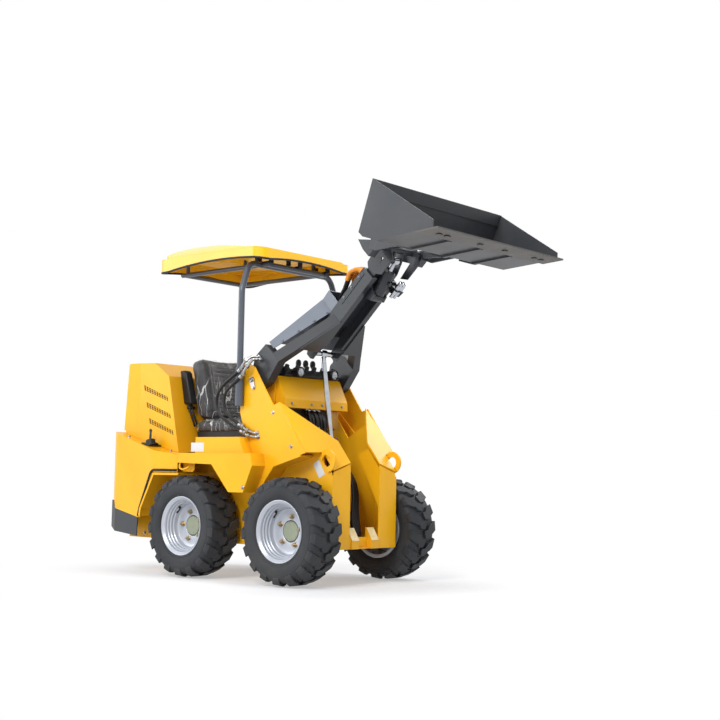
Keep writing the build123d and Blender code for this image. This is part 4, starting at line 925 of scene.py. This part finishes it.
def makePlates():
    for side, label in bothSides:
        out = acrossWay * side
        bm = bmesh.new()
        addPlate(bm, teardrop, side * 378, side * 6)
        revolve(bm, [(6, 0.3), (6, 12), (14, 11), (14, 0.3)], at(-353, side * 378, 1120), out, 24)
        revolve(bm, [(6, 0.3), (6, 9), (13, 7.5), (13, 0.3)], at(-337, side * 378, 1076), out, 6)
        addPiece(bm, "pinPlate_" + label, zincSilver, smooth=False, soft=(1.2,))

        for name, material, plates, thick, soft in smallPlates:
            bm = bmesh.new()
            for outline, left in plates:
                addPlate(bm, outline, side * left, side * thick)
            addPiece(bm, name + label, material, smooth=False, soft=soft)

        bm = bmesh.new()
        strip = [at(forward, side * left, up) for forward, left, up in archStrip]
        addTube(bm, roundedPath(strip, 45), 7.5, 10)
        addPiece(bm, "archRubber_" + label, hoseRubber)

        bm = bmesh.new()
        guide = [onBoom(along, above, side * 105)
                 for along, above in ((602, 13), (826, 13), (826, 45), (622, 45))]
        addPrism(bm, guide, out * (3 * mm))
        addPiece(bm, "boomGuide_" + label, boomGrey, "boom", smooth=False, soft=(1,))

        bm = bmesh.new()
        addPlate(bm, archLiner["arch"] + archLiner["inner"], side * 474, side * -190)
        addPlate(bm, archLiner["arch"] + archLiner["flange"], side * 478, side * -4)
        addPiece(bm, "archLiner_" + label, machineYellow, smooth=False, soft=(1,))


def makeDeckParts():  # battery switch, fuel cap and breather on the deck of the tail
    bm = bmesh.new()
    revolve(bm, [(0, 45), (10, 44), (12, 30), (36, 28), (40, 22)], at(-1195, -392, 752),
            Vector((-0.24, 0, 1)), 32, 0.5)
    addPlate(bm, [(-1214, 790), (-1196, 790), (-1196, 832), (-1190, 846), (-1204, 856), (-1216, 846),
                  (-1210, 832)], -395, 6)
    addPrism(bm, [at(-1232, -438, 764), at(-1158, -438, 749), at(-1158, -346, 749), at(-1232, -346, 764)],
             upWay * (8 * mm))
    addPiece(bm, "batterySwitch", blackPlastic, soft=(1.5,), sharp=35)
    bm = bmesh.new()
    for forward, left, base, radius, height in ((-1410, -388, 800, 9, 16), (-1010, -392, 716, 6, 14)):
        neck = height * 0.55
        revolve(bm, [(0, radius * 0.8), (neck, radius * 0.8), (neck, radius), (height, radius * 0.94)],
                at(forward, left, base), upWay, 24, 0.5)
    addPiece(bm, "deckCaps", zincSilver, sharp=35)


def makeHandleGrip():
    bm = bmesh.new()
    bar = [at(-1536, -272, 1090), at(-1561, -272, 1091.5), at(-1552.5, -272, 1217.5), at(-1528, -272, 1219)]
    addTube(bm, roundedPath(bar, 10), 7.2, 14)
    for foot in (bar[0], bar[-1]):
        revolve(bm, [(0, 0.4), (0, 13), (4, 12), (5, 0.4)], foot, Vector((-1, 0, 0.07)), 20)
    addPiece(bm, "doorGrip", blackPlastic, "rear_door")


def makeStepBrackets():  # bracket with its bent tube between the step box and the rear arch
    bm = bmesh.new()
    for side, _ in bothSides:
        addPlate(bm, [(-848, 600), (-765, 600), (-752, 612), (-752, 688), (-848, 688)],
                 side * 436, side * -5)
        loop = [at(-842, side * 462, 668), at(-842, side * 470, 622), at(-806, side * 474, 612),
                at(-772, side * 470, 622), at(-772, side * 444, 640)]
        addTube(bm, roundedPath(loop, 14), 6, 12)
    addPiece(bm, "stepBrackets", machineYellow, sharp=35)


def makeClosingPlates():  # folded lips where the tower slopes meet the front columns
    bm = bmesh.new()
    for side, _ in bothSides:
        lip = [at(167, side * left, up)
               for left, up in ((123.5, 622), (257, 583), (257.5, 614), (123.5, 656))]
        addPrism(bm, lip, aheadWay * (6.5 * mm))
    addPiece(bm, "columnLips", machineYellow, smooth=False, soft=(1,))


def makeRestHighlights():  # painted highlight: pale strips on the upward slope of the rests that the lowered boom lies on, where light falls on them
    bm = bmesh.new()
    for side, _ in bothSides:
        addPlate(bm, [(182.5, 240), (185.5, 242), (144.5, 309.5), (132, 309.5), (132, 306.5),
                      (142.5, 306.5)], side * 112, side * -58)
    addPiece(bm, "bareRests", restHighlightPaint, smooth=False, soft=(0.8,))


makeHandleGrip()
makeStepBrackets()
makeClosingPlates()
makeRestHighlights()
makePlates()
makeDeckParts()
print("plates and bolts placed")


# lamps, levers and boots

def makeLamps():
    glass, tree, shader = startMaterial("lampGlass", {"Roughness": 0.06, "Alpha": 0.25, "Coat Weight": 0.5})
    tree.links.new(toneNoise(tree, (0.85, 0.87, 0.90), (0.75, 0.78, 0.82), 60.0), shader["Base Color"])
    bowl = [(-12, 0.4), (-12, 6), (-10, 13), (-5, 20), (-1.2, 24.5), (-2.2, 25.5), (-6.2, 21), (-11.2, 14),
            (-13.4, 0.4)]
    rim = [(-6, 27.8), (-6, 30.5), (4, 30.5), (6, 28), (4, 25.6), (0, 25.6), (0, 27.8)]
    for side, label in bothSides:
        centre = at(-200, side * 143, 1176)
        bm = bmesh.new()
        revolve(bm, bowl, centre, aheadWay, 16)
        revolve(bm, [(-12, 0.4), (-12, 5), (-4, 5), (-2, 0.4)], centre, aheadWay, 16)
        addPiece(bm, "lampBowl_" + label, hardChrome, smooth=False)
        bm = bmesh.new()
        revolve(bm, [(0, 0.4), (0, 26), (1, 26), (4, 14), (5, 0.4)], centre, aheadWay, 32)
        addPiece(bm, "lampGlass_" + label, glass)
        bm = bmesh.new()
        revolve(bm, rim, centre, aheadWay, 40)
        for k in range(7):
            spot = centre - aheadWay * ((12 + 5 * k) * mm)
            revolve(bm, [(0, 27.5), (0, 31.2 - k * 0.4), (2.2, 31.2 - k * 0.4), (2.2, 27.5)],
                    spot, aheadWay, 32)
        addPiece(bm, "lampRing_" + label, blackPlastic, sharp=35)


def makeLevers():
    for index, left in enumerate((-60, 0, 60)):
        base = at(-300, left, 1150)
        bm = bmesh.new()
        folds = [pair for k in range(5) for pair in ((1 + k * 7, 24 - k * 3), (5 + k * 7, 20 - k * 3))]
        revolve(bm, [(0, 7.2), *folds, (38, 7.2)], base, upWay, 28)
        revolve(bm, [(64, 0.4), (64, 8), (70, 13), (84, 16.5), (98, 15), (107, 9), (110, 0.4)],
                base, upWay, 28)
        addPiece(bm, "lever_%d" % index, blackPlastic)
    bm = bmesh.new()
    folds = [pair for k in range(8) for pair in ((2 + k * 11, 30), (6 + k * 11, 30), (8.5 + k * 11, 24))]
    revolve(bm, [(-4, 18), (0, 24), *folds, (94, 18)], at(-296, -240, 1181), acrossWay, 32)
    addPiece(bm, "airBoot", blackPlastic)


def makeConsolePanel():
    bm = bmesh.new()
    addPlate(bm, [(-342, 1151), (-246, 1151), (-238, 1162), (-262, 1196), (-326, 1202), (-342, 1190)],
             -226, 452)
    for left in (-195, -108, -30, 32, 104, 190):
        revolve(bm, [(-4, 15), (26, 13), (30, 9)], at(-268, left, 1192), Vector((0.45, 0, 1)), 20, 0.4)
    addPiece(bm, "switchPanel", blackPlastic, soft=(4, 3), sharp=40)


makeLamps()
makeLevers()
makeConsolePanel()


# hoses and fittings

towerRoutes = {
    "Outer": ((-383, -432, 1183), (-447, -430, 1144), (-537, -425, 1098), (-590, -420, 1043),
              (-604, -415, 990), (-579, -410, 929), (-512, -402, 878), (-437, -398, 842), (-385, -396, 824)),
    "Inner": ((-371, -432, 1150), (-432, -430, 1107), (-509, -424, 1066), (-539, -418, 1016),
              (-532, -412, 955), (-490, -406, 909), (-441, -400, 877), (-400, -398, 860))}
elbowRuns = (((-383, -432, 1190), (-352, -432, 1226), (-345, -392, 1250), (-332, -352, 1250)),
             ((-371, -432, 1157), (-340, -432, 1192), (-330, -400, 1232), (-318, -352, 1236)),
             ((-385, -396, 820), (-350, -396, 806), (-300, -390, 800), (-292, -380, 800)),
             ((-400, -398, 856), (-360, -396, 836), (-310, -390, 822), (-302, -380, 822)))


def addFitting(bm, start, end, radius):  # crimped sleeve, hexagon and nipple between two points
    way = end - start
    length = way.length / mm
    revolve(bm, [(0, radius * 1.25), (length * 0.40, radius * 1.25), (length * 0.44, radius * 0.85),
                 (length * 0.52, radius * 0.85), (length, radius * 0.75)], start, way, 18, 0.4)
    revolve(bm, [(length * 0.55, radius * 1.55), (length * 0.85, radius * 1.55)], start, way, 6, 0.4)


def addHose(name, route, radius):  # a hose on one smooth curve through its route, with a fitting at each end
    spots = [at(*spot) for spot in route]
    curve = bpy.data.curves.new(name, "CURVE")
    curve.dimensions = "3D"
    curve.resolution_u = 14
    curve.render_resolution_u = 14
    spline = curve.splines.new("NURBS")
    spline.points.add(len(spots) - 1)
    for point, spot in zip(spline.points, spots):
        point.co = (*spot, 1)
    spline.order_u = 3
    spline.use_endpoint_u = True
    hose = linkObject(name, curve)
    line = evaluatedMesh(hose)
    curve.bevel_depth = radius * mm
    curve.bevel_resolution = 4
    curve.use_fill_caps = True
    curve.materials.append(hoseRubber)
    rideWithSlot(hose, "machine")
    bm = bmesh.new()
    for end, following in ((spots[0], spots[1]), (spots[-1], spots[-2])):
        way = (following - end).normalized() * mm
        addFitting(bm, end + way * 30, end - way * 18, radius)
    ends = addPiece(bm, name + "Ends", zincSilver, sharp=35)


def makeTowerHoses():
    for side, label in ((1, "Right"), (-1, "Left")):
        for name, route in towerRoutes.items():
            addHose("towerHose" + name + label, [(x, side * y, z) for x, y, z in route], 9)
        bm = bmesh.new()
        for run in elbowRuns:
            path = [at(x, side * y, z) for x, y, z in run]
            addTube(bm, roundedPath(path, 14), 7.8, 14)
            for spot, following in ((path[1], path[2]), (path[-1], path[-2])):
                revolve(bm, [(-8, 13.5), (8, 13.5)], spot, following - spot, 6, 0.4)
        addPiece(bm, "towerElbows" + label, zincSilver, sharp=35)


def makeSlotHoses():
    for index, left in enumerate((-150, -118, -92, -66, 62, 84, 106)):
        sway = 12 * (-1) ** index
        push = 24 * math.cos(index * 1.7)
        top = 846 - 9 * (index % 3)
        addHose("slotHose_%d" % index, [
            (-262, left, top), (-240, left, top - 6), (-206, left + sway * 0.6, 768),
            (-164, left + sway, 690), (-112 + push, left * 0.9 - sway * 0.5, 590),
            (-46 + push * 0.8, left * 0.8 + sway * 0.4, 470),
            (20 + push * 0.5, left * 0.72 - sway * 0.3, 356), (88 - 4 * index, left * 0.66, 262),
            (100 - 4 * index, left * 0.64, 214)], 9)
    for index in range(5):
        left = 108 + 15 * index
        addHose("bundleHose_%d" % index, [
            (-262, left, 838 - 6 * index), (-236, left, 826 - 6 * index), (-196, left + 12, 760 - 4 * index),
            (-146, 128 + 9 * index, 690 - 3 * index), (-92, 138 + 8 * index, 616),
            (-34, 132 + 7 * index, 548), (2, 100 + 9 * index, 470), (24, 66 + 11 * index, 396),
            (58, 34 + 13 * index, 312), (84, 22 + 12 * index, 250), (90, 20 + 12 * index, 212)], 9)
    for index, left in enumerate((-50, -30, -10, 10, 30, 50)):
        top = 966 - 7 * (index % 2)
        bulge = -204 + 8 * (index % 3)
        addHose("portHose_%d" % index, [
            (-262, left, top), (-232, left, top), (bulge, left + 1, top - 46), (bulge + 4, left - 1, 850),
            (bulge, left + 1, 790), (-228, left, 742), (-262, left, 742)], 8)


def makeValveParts():
    bm = bmesh.new()
    for index in range(7):
        left = -168 + index * 56
        revolve(bm, [(0, 15), (20, 15), (22, 10), (40, 10)], at(-282, left, 832), aheadWay, 6, 0.4)
        revolve(bm, [(0, 11), (30, 11), (32, 6), (46, 6)], at(-288, left + 24, 862), aheadWay, 18, 0.4)
    addPiece(bm, "valveFittings", zincSilver, sharp=35)
    bm = bmesh.new()
    for index in range(6):
        addPlate(bm, [(-279, 760), (-268, 760), (-264, 790), (-264, 862), (-270, 940), (-279, 940)],
                 -174 + index * 60, 48)
    addPiece(bm, "valveSections", castGrey, smooth=False, soft=(3,))


makeTowerHoses()
makeSlotHoses()
makeValveParts()
print("hoses run")


# cylinder rings and couplers

def makeCylinderTrim():
    for name, head, ring in (("lift", 475, 38), ("tilt", 166, 34)):
        base = Vector(joints[name + "_foot"]["pos_m"])
        way = Vector(joints[name + "_stroke"]["axis"]).normalized()
        bm = bmesh.new()
        revolve(bm, [(head - 36, ring), (head - 36, ring + 3), (head - 3, ring + 3), (head + 1, ring - 2),
                     (head + 1, ring - 12), (head - 2, ring)], base, way, 40)
        port = acrossWay.cross(way).normalized()
        port *= -1 if port.x < 0 else 1
        revolve(bm, [(ring - 4, 12), (ring + 14, 12)], base + way * ((head - 60) * mm), port, 16, 0.4)
        addPiece(bm, name + "Gland", boomGrey, name + "_barrel", sharp=35)


def makeCouplers():  # quick couplers for a powered tool, on a bracket beside the end of the boom
    bm = bmesh.new()
    plates = (([(770, -30), (842, -30), (842, -120), (800, -112)], 106, 8),
              ([(834, -70), (842, -70), (842, -120), (834, -120)], 108, -58))
    for outline, left, thick in plates:
        addPrism(bm, [onBoom(along, above, left) for along, above in outline], acrossWay * (thick * mm))
    addPiece(bm, "couplerBracket", boomGrey, "boom", smooth=False, soft=(1.5,))
    bm = bmesh.new()
    for left in (66, 93):
        revolve(bm, [(-55, 10), (-28, 10), (-26, 13), (8, 13), (10, 16.5), (34, 16.5), (37, 14), (52, 14),
                     (54, 10.5)], onBoom(838, -102, left), boomDir, 24, 0.4)
    addPiece(bm, "couplers", hardChrome, "boom", sharp=35)


makeCylinderTrim()
makeCouplers()
print("details placed")


# stage, lights and camera

stageLook = {"size": 30.0, "level": -0.001, "near": 1.0, "far": 1.9, "glow": 0.4,
             "sky": (0.93, 0.96, 1.0, 1), "skyPower": 0.50, "aim": Vector((0, 0, 0.9))}
lamps = [  # name, place, size, power, colour
    ("keyLamp", (1.6, -5.4, 4.9), 3.0, 300.0, (1.0, 0.98, 0.95)),
    ("topLamp", (2.0, 0.4, 6.0), 2.0, 230.0, (1.0, 0.99, 0.97)),
    ("fillLamp", (-4.5, -4.0, 3.0), 4.0, 120.0, (0.95, 0.98, 1.0)),
    ("backLamp", (0.5, 5.5, 4.5), 4.0, 110.0, (1.0, 1.0, 1.0))]
lens = {"forward": 4731.2, "left": -5295.1, "up": 603.4, "turn": 41.054, "tip": -5.190, "roll": 1.0075,
        "focal": 62.868, "sensor": 36.0}
whitePaint = {"Color": (1, 1, 1, 1), "Strength": 1.0}


def makeFloor():  # white paper that fades to plain white away from the machine
    size, level = stageLook["size"], stageLook["level"]
    corners = [(-size, -size, level), (size, -size, level), (size, size, level), (-size, size, level)]
    floor = linkObject("studioFloor", meshFrom("studioFloor", corners, [(0, 1, 2, 3)]))
    material, tree, shader = startMaterial("studioPaper", {"Roughness": 0.9, "Specular IOR Level": 0.0})
    tree.links.new(toneNoise(tree, (0.80, 0.80, 0.82), (0.78, 0.78, 0.80), 0.6), shader["Base Color"])
    place = addNode(tree, "TexCoord", out="Object")
    away = addNode(tree, "VectorMath", {0: place}, "Value", operation="LENGTH")
    fade = addRange(tree, away, stageLook["near"], stageLook["far"], stageLook["glow"],
                    interpolation_type="SMOOTHSTEP")
    seen = anyOf(tree, tree.nodes.new("ShaderNodeLightPath").outputs, "ADD", True)
    white = addNode(tree, "Emission", whitePaint)
    paper = tree.nodes["Principled BSDF"].outputs[0]
    mix = addNode(tree, "MixShader", {0: addMath(tree, "MULTIPLY", fade, seen), 1: paper, 2: white})
    tree.links.new(mix, tree.nodes["Material Output"].inputs["Surface"])
    floor.data.materials.append(material)


def makeWorld():  # soft light from a pale sky that the camera sees as plain white
    world = bpy.data.worlds.new("studio")
    bpy.context.scene.world = world
    world.use_nodes = True
    tree = world.node_tree
    tree.nodes.clear()
    seen = anyOf(tree, tree.nodes.new("ShaderNodeLightPath").outputs, "MAXIMUM")
    sky = addNode(tree, "Background", {"Color": stageLook["sky"], "Strength": stageLook["skyPower"]})
    mix = addNode(tree, "MixShader", {0: seen, 1: sky, 2: addNode(tree, "Background", whitePaint)})
    tree.links.new(mix, tree.nodes.new("ShaderNodeOutputWorld").inputs[0])


def addLamp(name, place, size, power, colour):
    lamp = bpy.data.lights.new(name, "AREA")
    lamp.shape = "DISK"
    lamp.size = size
    lamp.energy = power
    lamp.color = colour
    holder = linkObject(name, lamp)
    holder.location = place
    holder.rotation_euler = (stageLook["aim"] - Vector(place)).to_track_quat("-Z", "Y").to_euler()


def makeCamera():
    turn, tip, roll = (math.radians(lens[key]) for key in ("turn", "tip", "roll"))
    look = Vector((-math.sin(turn) * math.cos(tip), math.cos(turn) * math.cos(tip), -math.sin(tip)))
    right = Vector((math.cos(turn), math.sin(turn), 0))
    up = right.cross(look)
    rolledRight = right * math.cos(roll) + up * math.sin(roll)
    rolledUp = up * math.cos(roll) - right * math.sin(roll)
    data = bpy.data.cameras.new("camera")
    data.lens = lens["focal"]
    data.sensor_width = lens["sensor"]
    data.clip_end = 200.0
    camera = linkObject("camera", data)
    axes = Matrix((rolledRight, rolledUp, -look)).transposed()
    camera.matrix_world = Matrix.Translation(at(lens["forward"], lens["left"], lens["up"])) @ axes.to_4x4()
    bpy.context.scene.camera = camera


makeFloor()
makeWorld()
for lampRow in lamps:
    addLamp(*lampRow)
makeCamera()
bpy.context.scene.view_settings.view_transform = "Standard"
print("stage set")
